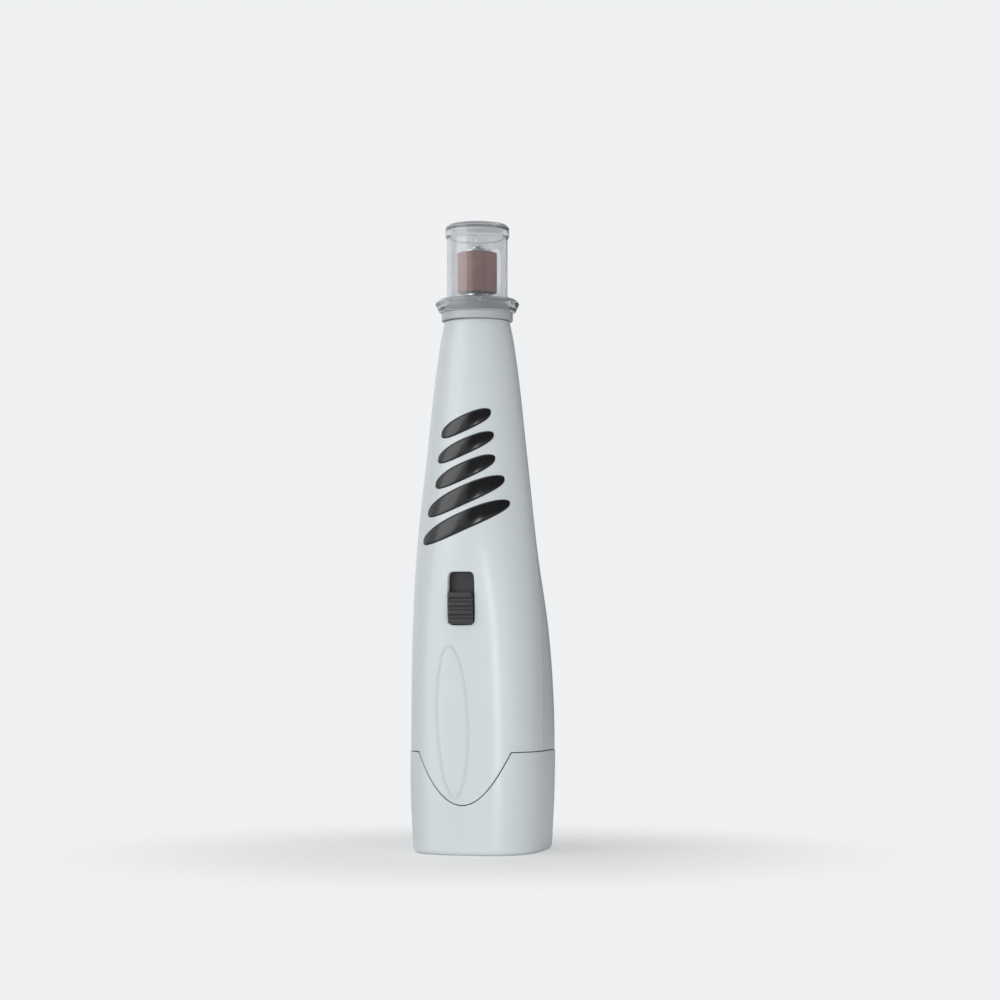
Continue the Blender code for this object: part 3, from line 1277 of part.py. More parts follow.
control_board = box(
    "control_board",
    (-BOARD_WIDTH / 2, BOARD_FRONT_Y, BOARD_LOW),
    (BOARD_WIDTH / 2, BOARD_BACK_Y, BOARD_HIGH),
    BOARD_GREEN, HOUSING,
)
cut(control_board, board_screw_holes)
speed_chip = box(
    "speed_chip",
    (-CHIP_WIDTH / 2, BOARD_BACK_Y + FIT, SWITCH_Z - CHIP_HEIGHT / 2),
    (CHIP_WIDTH / 2, BOARD_BACK_Y + FIT + CHIP_THICKNESS, SWITCH_Z + CHIP_HEIGHT / 2),
    CHIP_BLACK, HOUSING,
)


# ---- Screws ----
def screw(name, where, head_radius, head_height, radius, seat_y, length):
    """A screw driven forward along -Y at (x, z), its head standing on seat_y."""
    obj = pins(name, [where], head_radius, seat_y, seat_y + head_height, COARSE, STEEL, HOUSING)
    join(obj, pins(f"{name}_shank", [where], radius, seat_y - length, seat_y + head_height / 2, COARSE))


for index, where in enumerate(screw_places, start=1):
    screw(
        f"housing_screw_{index}", where, SCREW_HEAD_RADIUS, SCREW_HEAD_HEIGHT, SCREW_RADIUS,
        SCREW_SEAT_Y + FIT, SCREW_LENGTH,
    )
for (label, side), where in zip(SIDES, (board_corners[0], board_corners[-1])):
    screw(
        f"board_screw_{label}", where, BOARD_SCREW_HEAD, BOARD_THICKNESS / 2, BOARD_SCREW_RADIUS,
        BOARD_BACK_Y + FIT, BOARD_SCREW_LENGTH,
    )


# ---- Wires ----
def smooth_route(points, steps=2):
    """Points along a smooth curve through the given ones."""
    knots = [Vector(p) for p in points]
    knots = [2 * knots[0] - knots[1], *knots, 2 * knots[-1] - knots[-2]]
    route = []
    for a, b, c, d in zip(knots, knots[1:], knots[2:], knots[3:]):
        for step in range(steps):
            t = step / steps
            route.append(
                0.5 * (2 * b + (c - a) * t + (2 * a - 5 * b + 4 * c - d) * t**2 + (3 * b - a - 3 * c + d) * t**3)
            )
    return [*route, knots[-2]]


def wire(name, route):
    data = bpy.data.curves.new(name, "CURVE")
    data.dimensions = "3D"
    data.bevel_depth = WIRE_RADIUS
    data.bevel_resolution = 1
    data.use_fill_caps = True
    points = smooth_route(route)
    spline = data.splines.new("POLY")
    spline.points.add(len(points) - 1)
    for spline_point, point in zip(spline.points, points):
        spline_point.co = (*point, 1.0)
    place(bpy.data.objects.new(name, data), WIRE_INSULATION, HOUSING)


for label, side in SIDES:
    lane_x = side * LEAD_PITCH / 2
    wire(
        f"led_wire_{label}",
        [
            (lane_x, LED_FROM_AXIS, LEAD_BOTTOM - FIT),
            (lane_x, LED_FROM_AXIS + WIRE_RADIUS, SLEEVE_BOTTOM),
            (lane_x, WIRE_LANE - 2 * WIRE_RADIUS, COUPLING_BOTTOM + BULKHEAD),
            (lane_x, WIRE_LANE, MOTOR_TOP),
            (lane_x, WIRE_LANE, (MOTOR_TOP + MOTOR_BOTTOM) / 2),
            (lane_x, WIRE_LANE, MOTOR_BOTTOM),
            (lane_x, MOTOR_RADIUS / 2, MOTOR_BOTTOM - 1.5 * TERMINAL_LENGTH),
            (lane_x, BOARD_BACK_Y + TERMINAL_LENGTH, BOARD_HIGH - TERMINAL_LENGTH),
            (lane_x, BOARD_BACK_Y + FIT + WIRE_RADIUS, BOARD_HIGH - 2.5 * TERMINAL_LENGTH),
        ],
    )
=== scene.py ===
"""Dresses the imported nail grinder: a battery-driven grinder for dogs' and cats' claws, standing upright.

Lengths are in metres. The spindle runs up Z, the grip pads and the switch face -Y.
"""

import math

import bmesh
import bpy
import numpy as np
from mathutils import Matrix, Vector
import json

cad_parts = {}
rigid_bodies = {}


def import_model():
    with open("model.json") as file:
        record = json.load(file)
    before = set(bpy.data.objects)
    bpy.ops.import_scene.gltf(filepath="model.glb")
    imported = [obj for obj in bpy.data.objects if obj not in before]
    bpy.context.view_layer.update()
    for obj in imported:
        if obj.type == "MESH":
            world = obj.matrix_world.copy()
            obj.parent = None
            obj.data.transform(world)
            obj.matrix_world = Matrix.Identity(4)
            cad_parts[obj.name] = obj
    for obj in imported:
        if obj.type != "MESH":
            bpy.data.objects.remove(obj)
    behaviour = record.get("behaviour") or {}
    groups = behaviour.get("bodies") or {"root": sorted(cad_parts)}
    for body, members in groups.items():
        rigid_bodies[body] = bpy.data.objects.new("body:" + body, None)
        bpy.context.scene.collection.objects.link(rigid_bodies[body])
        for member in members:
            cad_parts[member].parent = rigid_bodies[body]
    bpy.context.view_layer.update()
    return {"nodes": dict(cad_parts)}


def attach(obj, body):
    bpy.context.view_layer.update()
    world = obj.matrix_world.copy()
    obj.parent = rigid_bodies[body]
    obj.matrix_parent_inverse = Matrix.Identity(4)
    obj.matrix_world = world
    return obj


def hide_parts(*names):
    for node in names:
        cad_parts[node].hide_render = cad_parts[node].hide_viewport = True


for left_over in list(bpy.data.objects):
    bpy.data.objects.remove(left_over, do_unlink=True)
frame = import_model()
nodes = frame["nodes"]

# ---- Front shell ----
# The front half of the grip, injection moulded in satin grey ABS. It has the switch window, five slanted
# windows for the grip pads and the tongue that dips into the battery cover. It meets the rear half on the
# plane through the spindle, and four screws from the back pull the two together.
STATIONS = (  # height, half width, reach forward, reach to the palm side, squareness
    (0.0000, 0.0202, 0.0162, 0.0309, 3.0),
    (0.0170, 0.0210, 0.0169, 0.0318, 3.0),
    (0.0450, 0.0211, 0.0171, 0.0320, 3.0),
    (0.0700, 0.0206, 0.0178, 0.0272, 2.7),
    (0.0950, 0.0191, 0.0189, 0.0193, 2.1),
    (0.1250, 0.01605, 0.01605, 0.01605, 2.0),
    (0.1550, 0.0127, 0.0127, 0.0127, 2.0),
    (0.1635, 0.01145, 0.01145, 0.01145, 2.0),
    (0.1684, 0.0104, 0.0104, 0.0104, 2.0),
)
station_z = [station[0] for station in STATIONS]
station_slopes = [np.gradient([s[column] for s in STATIONS], station_z) for column in range(1, 5)]
BODY_TOP = station_z[-1]
WALL = 0.0020


def section(z):
    """Half width, depth, middle of the depth and squareness of the body at a height."""
    low = int(np.clip(np.searchsorted(station_z, z) - 1, 0, len(STATIONS) - 2))
    span = station_z[low + 1] - station_z[low]
    t = (z - station_z[low]) / span
    half, front, back, power = (
        (2 * t**3 - 3 * t**2 + 1) * STATIONS[low][column + 1]
        + (t**3 - 2 * t**2 + t) * span * station_slopes[column][low]
        + (3 * t**2 - 2 * t**3) * STATIONS[low + 1][column + 1]
        + (t**3 - t**2) * span * station_slopes[column][low + 1]
        for column in range(4)
    )
    return half, (back + front) / 2, (back - front) / 2, power


def body_point(z, turn, inset=0.0):
    """A point of the body's surface at a height, turn radians round from +X."""
    half, depth, middle, power = section(z)
    half, depth = half - inset, depth - inset
    c, s = math.cos(turn), math.sin(turn)
    reach = (abs(c / half) ** power + abs(s / depth) ** power) ** (-1 / power)
    return Vector((reach * c, middle + reach * s, z))


def turn_at(z, x=None, y=None):
    """How far round the right side's surface reaches a given x at the front, or a given y."""
    half, depth, middle, power = section(z)
    if x is not None:
        return math.atan2(-depth * (1 - (x / half) ** power) ** (1 / power), x)
    return math.atan2(y - middle, half * (1 - abs((y - middle) / depth) ** power) ** (1 / power))


COVER_TOP = 0.0318
SEAM_GAP = 0.0003
TONGUE_HALF = 0.01525
TONGUE_DROP = 0.0164
SPLIT = 0.00008
SEAM_PASSES = 12  # rounds that settle a column's end on the curved seam


def seam(x, gap):
    """Height of the seam in front, where the housing's tongue dips into the cover."""
    tongue = COVER_TOP - TONGUE_DROP + gap + TONGUE_DROP * (x / (TONGUE_HALF - gap)) ** 2
    return min(COVER_TOP + gap, tongue)


SHELL_COLUMNS = 128
SHELL_ROWS = 120
CORNER_COLUMNS = 18
corner_share = (turn_at(COVER_TOP, y=-SPLIT) - turn_at(COVER_TOP, x=TONGUE_HALF - SEAM_GAP)) / (
    math.pi + 2 * turn_at(COVER_TOP, y=-SPLIT)
)


def front_turn(column, z):
    """The turn of a column of the front shell, with a column on each corner of the tongue."""
    mirrored = column > SHELL_COLUMNS / 2
    number = SHELL_COLUMNS - column if mirrored else column
    if number <= CORNER_COLUMNS:
        share = corner_share * number / CORNER_COLUMNS
    else:
        rest = (number - CORNER_COLUMNS) / (SHELL_COLUMNS / 2 - CORNER_COLUMNS)
        share = corner_share + (0.5 - corner_share) * rest
    end = turn_at(z, y=-SPLIT)
    share = 1.0 - share if mirrored else share
    return -math.pi - end + share * (math.pi + 2 * end)


front_edge = []
for column in range(SHELL_COLUMNS + 1):
    z = COVER_TOP
    for _ in range(SEAM_PASSES):
        z = seam(body_point(z, front_turn(column, z)).x, SEAM_GAP)
    front_edge.append(z)
SPIGOT_RADIUS = 0.0092
SPIGOT_TOP = 0.1715


def spigot_point(turn_share, row, side):
    """The neck's step and spigot above the body, for the last two rows of a shell."""
    lean = math.asin(SPLIT / SPIGOT_RADIUS)
    turn = lean + turn_share * (math.pi - 2 * lean)
    height = BODY_TOP if row == SHELL_ROWS + 1 else SPIGOT_TOP
    return Vector((side * SPIGOT_RADIUS * math.cos(turn), side * SPIGOT_RADIUS * math.sin(turn), height))


def front_surface(column, row):
    if row > SHELL_ROWS:
        end = turn_at(BODY_TOP, y=-SPLIT)
        return spigot_point((front_turn(column, BODY_TOP) + math.pi + end) / (math.pi + 2 * end), row, -1.0)
    z = front_edge[column] + (BODY_TOP - front_edge[column]) * row / SHELL_ROWS
    return body_point(z, front_turn(column, z))


def nodes_of(name, **values):
    """A Principled material and its node tree, with the given sockets set."""
    material = bpy.data.materials.new(name)
    material.use_nodes = True
    tree = material.node_tree
    shader = tree.nodes["Principled BSDF"]
    for socket, value in values.items():
        shader.inputs[socket.replace("_", " ")].default_value = value
    return material, tree, shader


def add(tree, kind, **values):
    node = tree.nodes.new(kind)
    for socket, value in values.items():
        node.inputs[socket.replace("_", " ")].default_value = value
    return node


def noise(tree, scale, detail=3.0, roughness=0.5):
    """Noise on Object coordinates; scale is in bumps per metre."""
    place = tree.nodes.new("ShaderNodeTexCoord")
    texture = add(tree, "ShaderNodeTexNoise", Scale=scale, Detail=detail, Roughness=roughness)
    tree.links.new(place.outputs["Object"], texture.inputs["Vector"])
    return texture


def spread(tree, source, low, high, socket, start=0.35, end=0.65):
    """Spreads a noise's grey between two values, or two colours, and feeds it to a socket."""
    ramp = tree.nodes.new("ShaderNodeValToRGB")
    ramp.color_ramp.elements[0].position, ramp.color_ramp.elements[1].position = start, end
    for element, value in zip(ramp.color_ramp.elements, (low, high)):
        element.color = (*value, 1.0) if isinstance(value, tuple) else (value, value, value, 1.0)
    tree.links.new(source, ramp.inputs["Fac"])
    tree.links.new(ramp.outputs["Color"], socket)


def bump(tree, shader, height, distance, strength=1.0):
    node = add(tree, "ShaderNodeBump", Strength=strength, Distance=distance)
    tree.links.new(height, node.inputs["Height"])
    tree.links.new(node.outputs["Normal"], shader.inputs["Normal"])


CLOUD_SCALE = 45.0
FLOW_SCALE = 160.0
GRAIN_SCALE = 5200.0
SLOW_RAMP = (0.15, 0.85)


def moulded(name, colour, roughness, grain=0.00001, shade=0.985, gloss=0.03):
    """Moulded plastic: a fine spark-eroded grain, slow flow marks in its gloss and a slight unevenness."""
    material, tree, shader = nodes_of(name, Base_Color=(*colour, 1.0))
    cloud = noise(tree, CLOUD_SCALE, 2.0)
    pale = tuple(c * shade for c in colour)
    spread(tree, cloud.outputs["Fac"], pale, colour, shader.inputs["Base Color"], *SLOW_RAMP)
    flow = noise(tree, FLOW_SCALE, 2.0)
    low, high = roughness - gloss, roughness + gloss
    spread(tree, flow.outputs["Fac"], low, high, shader.inputs["Roughness"], *SLOW_RAMP)
    bump(tree, shader, noise(tree, GRAIN_SCALE, 2.0).outputs["Fac"], grain, 0.5)
    return material


SHELL_GREY = moulded("shell_grey", (0.570, 0.612, 0.630), 0.30)
MERGE = 0.000001


def made(name, bm, body, material):
    """Files a finished bmesh as a smooth piece that rides on a body, or as a tool if it has none."""
    mesh = bpy.data.meshes.new(name)
    bm.to_mesh(mesh)
    bm.free()
    mesh.polygons.foreach_set("use_smooth", [True] * len(mesh.polygons))
    piece = bpy.data.objects.new(name, mesh)
    bpy.context.scene.collection.objects.link(piece)
    if material is not None:
        mesh.materials.append(material)
    if body is not None:
        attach(piece, body)
    return piece


def wrapped(name, columns, rows, surface, body, material, shut=True):
    """Bends a grid round a surface given by its column and row numbers, and merges where it meets."""
    bm = bmesh.new()
    bmesh.ops.create_grid(bm, x_segments=columns, y_segments=rows, size=0.5)
    for vert in bm.verts:
        column, row = (vert.co.x + 0.5) * columns, (vert.co.y + 0.5) * rows
        vert.co = surface(round(column), round(row))
    bmesh.ops.remove_doubles(bm, verts=bm.verts[:], dist=MERGE)
    bmesh.ops.dissolve_degenerate(bm, edges=bm.edges[:], dist=MERGE / 10)
    if shut:
        bmesh.ops.recalc_face_normals(bm, faces=bm.faces[:])
    return made(name, bm, body, material)


BEVEL_ANGLE = math.radians(40.0)


def thicken(piece, wall):
    solidify = piece.modifiers.new("wall", "SOLIDIFY")
    solidify.thickness = wall
    solidify.offset = -1.0
    solidify.use_even_offset = True


def soften(piece, width, segments=2):
    """Rounds a piece's edges a little, as a mould leaves them."""
    bevel = piece.modifiers.new("edges", "BEVEL")
    bevel.width = width
    bevel.segments = segments
    bevel.limit_method = "ANGLE"
    bevel.angle_limit = BEVEL_ANGLE


SHELL_EDGE = 0.00012
front_shell = wrapped(
    "front_shell", SHELL_COLUMNS, SHELL_ROWS + 2, front_surface, "housing", SHELL_GREY, shut=False
)
thicken(front_shell, WALL)
soften(front_shell, SHELL_EDGE)

PADS = (  # height of the middle, half length, half thickness
    (0.1349, 0.0078, 0.00255),
    (0.1273, 0.0088, 0.00250),
    (0.1196, 0.0094, 0.00270),
    (0.1119, 0.0121, 0.00300),
    (0.1037, 0.0137, 0.00290),
)
PAD_SLANT = 0.43
PAD_POWER = 2.5
PAD_GAP = 0.0002
FLARE = 0.0002


def oval(pad, turn, grow):
    """A point of a pad's slanted, slightly squared oval in (x, z), grown all round."""
    middle, half_length, half_thickness = pad
    c, s = math.cos(turn), math.sin(turn)
    reach = (abs(c) ** PAD_POWER + abs(s) ** PAD_POWER) ** (-1 / PAD_POWER)
    z = middle + PAD_SLANT * half_length * reach * c + (half_thickness + grow) * reach * s
    return (half_length + grow) * reach * c, z


def face_y(z, x, inset=0.0, side=-1.0):
    """Where the body's surface lies in front (side -1) or at the back (side 1) of a point."""
    half, depth, middle, power = section(z)
    share = min(abs(x) / (half - inset), 1.0)
    return middle + side * (depth - inset) * (1 - share**power) ** (1 / power)


CUT_FROM_Y = -0.001
CUT_TO_Y = -0.05


def flared(name, outline, middle, sides):
    """A cutter through the front wall whose mouth opens a little, as the edge of a moulded window."""

    def surface(column, row):
        x, z = outline(2 * math.pi * column / sides, PAD_GAP + (FLARE if row > 2 else 0.0))
        if row in (0, 5):
            x, z = middle
        wall_y = face_y(z, x)
        y = (CUT_FROM_Y, CUT_FROM_Y, wall_y + FLARE, wall_y - FLARE / 4, CUT_TO_Y, CUT_TO_Y)[row]
        return Vector((x, y, z))

    return wrapped(name, sides, 5, surface, None, None)


OUTLINE_SIDES = 96
pad_tools = [
    flared(f"pad_tool_{i}", lambda turn, grow, pad=pad: oval(pad, turn, grow), (0.0, pad[0]), OUTLINE_SIDES)
    for i, pad in enumerate(PADS)
]
SWITCH_Z = 0.0798
WINDOW_HALF = (0.0041, 0.0081)
WINDOW_POWER = 8


def window(turn, grow):
    """A point of the switch window's round-cornered outline."""
    c, s = math.cos(turn), math.sin(turn)
    squared = (abs(c) ** WINDOW_POWER + abs(s) ** WINDOW_POWER) ** (-1 / WINDOW_POWER)
    return (WINDOW_HALF[0] + grow) * squared * c, SWITCH_Z + (WINDOW_HALF[1] + grow) * squared * s


window_tool = flared("window_tool", window, (0.0, SWITCH_Z), OUTLINE_SIDES)
SHARP_ANGLE = math.radians(35.0)


def settle(piece, tools=()):
    """Cuts the tools out of a piece, fixes its modifiers in its mesh and removes the tools."""
    for tool in tools:
        cut = piece.modifiers.new(tool.name, "BOOLEAN")
        cut.operation = "DIFFERENCE"
        cut.solver = "EXACT"
        cut.object = tool
    bpy.context.view_layer.update()
    graph = bpy.context.evaluated_depsgraph_get()
    mesh = bpy.data.meshes.new_from_object(piece.evaluated_get(graph), depsgraph=graph)
    piece.modifiers.clear()
    piece.data = mesh
    for tool in tools:
        bpy.data.objects.remove(tool, do_unlink=True)
    mesh.polygons.foreach_set("use_smooth", [True] * len(mesh.polygons))
    mesh.set_sharp_from_angle(angle=SHARP_ANGLE)
    weighted = piece.modifiers.new("smooth", "WEIGHTED_NORMAL")
    weighted.keep_sharp = True


settle(front_shell, [*pad_tools, window_tool])
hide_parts("front_housing")

# ---- Rear shell ----
# The rear half of the grip is moulded in the same grey ABS, plain and full to fill the palm. Four screws
# stand in deep counterbores, and two round holes at the neck let the lamp's heat and the dust out.
SCREWS = ((0.0148, 0.0740), (0.0084, 0.1465))
SEAT_Y = 0.0040
HEAD_BORE = 0.0025
NECK_HOLE_RADIUS = 0.0015
NECK_HOLE_Z = 0.1615
NECK_HOLE_TURN = math.radians(27.5)


def rear_surface(column, row):
    share = column / SHELL_COLUMNS
    if row > SHELL_ROWS:
        return spigot_point(share, row, 1.0)
    z = COVER_TOP + SEAM_GAP + (BODY_TOP - COVER_TOP - SEAM_GAP) * row / SHELL_ROWS
    end = turn_at(z, y=SPLIT)
    return body_point(z, end + share * (math.pi - 2 * end))


rear_shell = wrapped(
    "rear_shell", SHELL_COLUMNS, SHELL_ROWS + 2, rear_surface, "housing", SHELL_GREY, shut=False
)
thicken(rear_shell, WALL)
soften(rear_shell, SHELL_EDGE)


def spun(name, profile, steps, body, material, lie=None):
    """Spins a profile of (radius, height) round Z; lie then turns and moves it to its place."""
    bm = bmesh.new()
    points = [bm.verts.new((radius, 0.0, height)) for radius, height in profile]
    edges = [bm.edges.new(pair) for pair in zip(points, points[1:])]
    if profile[0][0] > 0.0 and profile[0] != profile[-1]:
        edges.append(bm.edges.new((points[-1], points[0])))
    bmesh.ops.spin(
        bm, geom=[*points, *edges], cent=(0, 0, 0), axis=(0, 0, 1), dvec=(0, 0, 0), angle=2 * math.pi,
        steps=steps, use_merge=True, use_duplicate=False,
    )
    bmesh.ops.remove_doubles(bm, verts=bm.verts[:], dist=MERGE)
    if lie is not None:
        bmesh.ops.transform(bm, matrix=lie, verts=bm.verts[:])
    bmesh.ops.recalc_face_normals(bm, faces=bm.faces[:])
    return made(name, bm, body, material)


def backwards(x, z):
    """Lays a spun piece on its side, its height pointing out of the back at (x, z)."""
    return Matrix.Translation((x, 0.0, z)) @ Matrix.Rotation(-math.pi / 2, 4, "X")


ROUND_STEPS = 48
PAST_BACK = 0.05
HOLE_FROM = 0.005
HOLE_TO = 0.03
screw_places = [(side * x, z) for x, z in SCREWS for side in (-1.0, 1.0)]
head_bore = [(0.0, PAST_BACK), (HEAD_BORE, PAST_BACK), (HEAD_BORE, SEAT_Y), (0.0, SEAT_Y)]
neck_bore = [
    (0.0, HOLE_TO), (NECK_HOLE_RADIUS, HOLE_TO), (NECK_HOLE_RADIUS, HOLE_FROM), (0.0, HOLE_FROM),
]
rear_tools = [
    spun(f"head_tool_{i}", head_bore, ROUND_STEPS, None, None, backwards(x, z))
    for i, (x, z) in enumerate(screw_places)
]
for side in (-1.0, 1.0):
    lie = (
        Matrix.Translation((0, 0, NECK_HOLE_Z))
        @ Matrix.Rotation(side * NECK_HOLE_TURN, 4, "Z")
        @ Matrix.Rotation(-math.pi / 2, 4, "X")
    )
    rear_tools.append(spun(f"neck_tool_{side:.0f}", neck_bore, ROUND_STEPS, None, None, lie))
settle(rear_shell, rear_tools)
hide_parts("rear_housing")

# ---- Screw wells ----
# Round tubes of the same grey ABS, moulded in one with the rear shell under each counterbore. The floor of
# each is the seat that a screw's head pulls on, with a hole that lets the shank through to the front shell.
WELL_RADIUS = 0.0033
WELL_FOOT_Y = 0.0002
SHANK_BORE = 0.0014
WELL_SINK = 0.6  # share of the wall that a tube's mouth leaves outside it
for i, (x, z) in enumerate(screw_places, start=1):
    mouth = face_y(z, abs(x) + HEAD_BORE, inset=WALL * WELL_SINK, side=1.0)
    ring = [
        (WELL_RADIUS, WELL_FOOT_Y), (SHANK_BORE, WELL_FOOT_Y), (SHANK_BORE, SEAT_Y), (HEAD_BORE, SEAT_Y),
        (HEAD_BORE, mouth), (WELL_RADIUS, mouth),
    ]
    well = spun(f"screw_well_{i}", ring, ROUND_STEPS, "housing", SHELL_GREY, backwards(x, z))

# ---- Housing screws ----
# Self-tapping steel screws with a domed head and a cross recess, zinc plated and passivated black. They go
# in from the back through the wells, and bite into the front shell.
ZINC, zinc_tree, zinc_shader = nodes_of("black_zinc", Base_Color=(0.10, 0.10, 0.11, 1), Metallic=1.0)
spread(zinc_tree, noise(zinc_tree, 900.0).outputs["Fac"], 0.28, 0.46, zinc_shader.inputs["Roughness"])
bump(zinc_tree, zinc_shader, noise(zinc_tree, 3500.0).outputs["Fac"], 0.00002, 0.4)


def block(name, place, size, body, material):
    """A plain block of a size, turned and moved by a matrix."""
    bm = bmesh.new()
    bmesh.ops.create_cube(bm, size=1.0, matrix=place @ Matrix.Diagonal((*size, 1)))
    return made(name, bm, body, material)


RECESS_REACH = 0.0024
RECESS_WIDTH = 0.0005
RECESS_DEPTH = 0.0009
OVERCUT = 0.001


def cross_tools(name, lie, top):
    """The two slot cutters that cross to make the recess in a screw's head."""
    middle = Matrix.Translation((0, 0, top - RECESS_DEPTH / 2 + OVERCUT / 2))
    slot = (RECESS_REACH, RECESS_WIDTH, RECESS_DEPTH + OVERCUT)
    return [
        block(f"{name}_{i}", lie @ middle @ Matrix.Rotation(turn, 4, "Z"), slot, None, None)
        for i, turn in enumerate((math.pi / 4, -math.pi / 4))
    ]


HEAD_RADIUS = 0.0022
HEAD_SIDE = 0.0009
HEAD_DOME = 0.0007
HEAD_HEIGHT = 0.0016
SHANK_RADIUS = 0.00115
SHANK_LENGTH = 0.010
HEAD_GAP = 0.0003
seat = SEAT_Y + HEAD_GAP
for i, (x, z) in enumerate(screw_places, start=1):
    profile = [
        (HEAD_RADIUS * math.sin(a), seat + HEAD_SIDE + HEAD_DOME * math.cos(a))
        for a in np.linspace(0, math.pi / 2, 8)
    ]
    profile += [(HEAD_RADIUS, seat), (SHANK_RADIUS, seat)]
    profile += [(SHANK_RADIUS, seat - SHANK_LENGTH), (0.0, seat - SHANK_LENGTH)]
    screw = spun(f"grip_screw_{i}", profile, ROUND_STEPS, "housing", ZINC, backwards(x, z))
    settle(screw, cross_tools(f"recess_{i}", backwards(x, z), seat + HEAD_HEIGHT))
    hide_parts(f"housing_screw_{i}")

# ---- Lip ----
# A thin inner rim of the same grey ABS, moulded so that it stands out of the housing's lower edge. The
# battery cover slides up over it and is held by its friction.
LIP_COLUMNS = 160
LIP_HEIGHTS = (0.0273, 0.0274, 0.0321, 0.0351)
LIP_GAP = 0.0003
LIP_WALL = 0.0014


def lip_surface(column, row):
    return body_point(LIP_HEIGHTS[row], 2 * math.pi * column / LIP_COLUMNS, WALL + LIP_GAP)


lip = wrapped("housing_lip", LIP_COLUMNS, 3, lip_surface, "housing", SHELL_GREY, shut=False)
thicken(lip, LIP_WALL)
settle(lip)

# ---- Grip pads ----
# Five slanted ovals of one soft elastomer moulding fill the windows of the front shell. A web behind
# the wall joins them. Their faces are smooth and slightly crowned, so they shine where they face a lamp.
PAD_BLACK = moulded("pad_black", (0.012, 0.012, 0.013), 0.22, grain=0.000008, shade=0.8, gloss=0.04)
PAD_SIDES = 96
FACE_ROWS = 8
BEND_ROWS = 3
PAD_ROWS = FACE_ROWS + BEND_ROWS + 1
PAD_EDGE = 0.00035
PAD_CROWN = 0.00020
PAD_BEHIND = 0.0002


def pad_surface(pad):
    """A crowned face, a rounded edge and the side that goes back through the wall, for one pad."""

    def surface(column, row):
        turn = 2 * math.pi * column / PAD_SIDES
        if row <= FACE_ROWS:
            share, drop = row / FACE_ROWS, 0.0
            x, z = oval(pad, turn, -PAD_EDGE)
            x, z = x * share, pad[0] + (z - pad[0]) * share
        else:
            bend = min(row - FACE_ROWS, BEND_ROWS) / BEND_ROWS * math.pi / 2
            x, z = oval(pad, turn, -PAD_EDGE * (1 - math.sin(bend)))
            share, drop = 1.0, PAD_EDGE * (1 - math.cos(bend))
        y = face_y(z, x) - PAD_CROWN * (1 - share**2) + drop
        return Vector((x, face_y(z, x, WALL) + PAD_BEHIND if row == PAD_ROWS else y, z))

    return surface


for i, pad in enumerate(PADS, start=1):
    grip_pad = wrapped(f"grip_pad_{i}", PAD_SIDES, PAD_ROWS, pad_surface(pad), "housing", PAD_BLACK)
WEB_COLUMNS = 40
WEB_ROWS = 40
WEB_SIDE = 0.0006
WEB_END = 0.0040
WEB_GAP = 0.0003
WEB_WALL = 0.0010


def web_surface(column, row):
    """The web follows the inside of the wall, from above the top pad to below the bottom one."""
    up = row / WEB_ROWS
    reach = PADS[-1][1] + (PADS[0][1] - PADS[-1][1]) * up + WEB_SIDE
    x = reach * (2 * column / WEB_COLUMNS - 1)
    rise = PADS[0][0] - PADS[-1][0] + 2 * WEB_END
    z = PADS[-1][0] - WEB_END + rise * up + PAD_SLANT * x
    return Vector((x, face_y(z, x, WALL + WEB_GAP), z))


web = wrapped("pad_web", WEB_COLUMNS, WEB_ROWS, web_surface, "housing", PAD_BLACK, shut=False)
thicken(web, WEB_WALL)
settle(web)
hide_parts("grip_insert")

# ---- Oval on the tongue ----
# A fine half-round line of the front shell's own grey ABS, cut into the mould so that it stands a hair
# proud. It marks out a bare oval field on the tongue.
OVAL_MIDDLE = (-0.0032, 0.0415)
OVAL_HALF = (0.0050, 0.0235)
OVAL_TILT = math.radians(2.4)
OVAL_LINE = 0.00030
OVAL_STEPS = 192
OVAL_SIDES = 12


def oval_surface(column, row):
    turn = 2 * math.pi * column / OVAL_STEPS
    round_line = 2 * math.pi * row / OVAL_SIDES
    spread_out = OVAL_LINE * math.cos(round_line)
    along = (OVAL_HALF[1] + spread_out) * math.cos(turn)
    across = (OVAL_HALF[0] + spread_out) * math.sin(turn)
    x = OVAL_MIDDLE[0] + across * math.cos(OVAL_TILT) - along * math.sin(OVAL_TILT)
    z = OVAL_MIDDLE[1] + across * math.sin(OVAL_TILT) + along * math.cos(OVAL_TILT)
    return Vector((x, face_y(z, x) - OVAL_LINE * math.sin(round_line), z))


oval_line = wrapped("oval_line", OVAL_STEPS, OVAL_SIDES, oval_surface, "housing", SHELL_GREY)

# ---- Battery cover ----
# A deep cup moulded in the housing's grey ABS, which slides up over the lip and scoops down in front under
# the tongue. It stands a hair proud of the housing, and five ridges at the back give the thumb a hold to
# pull it off.
COVER_GREY = moulded("cover_grey", (0.570, 0.612, 0.630), 0.30)
COVER_PROUD = 0.0002
COVER_EDGE = 0.0016
COVER_COLUMNS = 256
COVER_ROWS = 24
FLOOR_ROWS = 10
EDGE_ROWS = 6
CORNER_TURN = turn_at(COVER_TOP, x=TONGUE_HALF)
CORNER_COLUMN = 38


def cover_turn(column):
    """Columns start at the front and have one on each corner of the scoop."""
    mirrored = column > COVER_COLUMNS / 2
    number = COVER_COLUMNS - column if mirrored else column
    corner = CORNER_TURN + math.pi / 2
    if number <= CORNER_COLUMN:
        turn = corner * number / CORNER_COLUMN
    else:
        turn = corner + (math.pi - corner) * (number - CORNER_COLUMN) / (COVER_COLUMNS / 2 - CORNER_COLUMN)
    return -math.pi / 2 + (-turn if mirrored else turn)


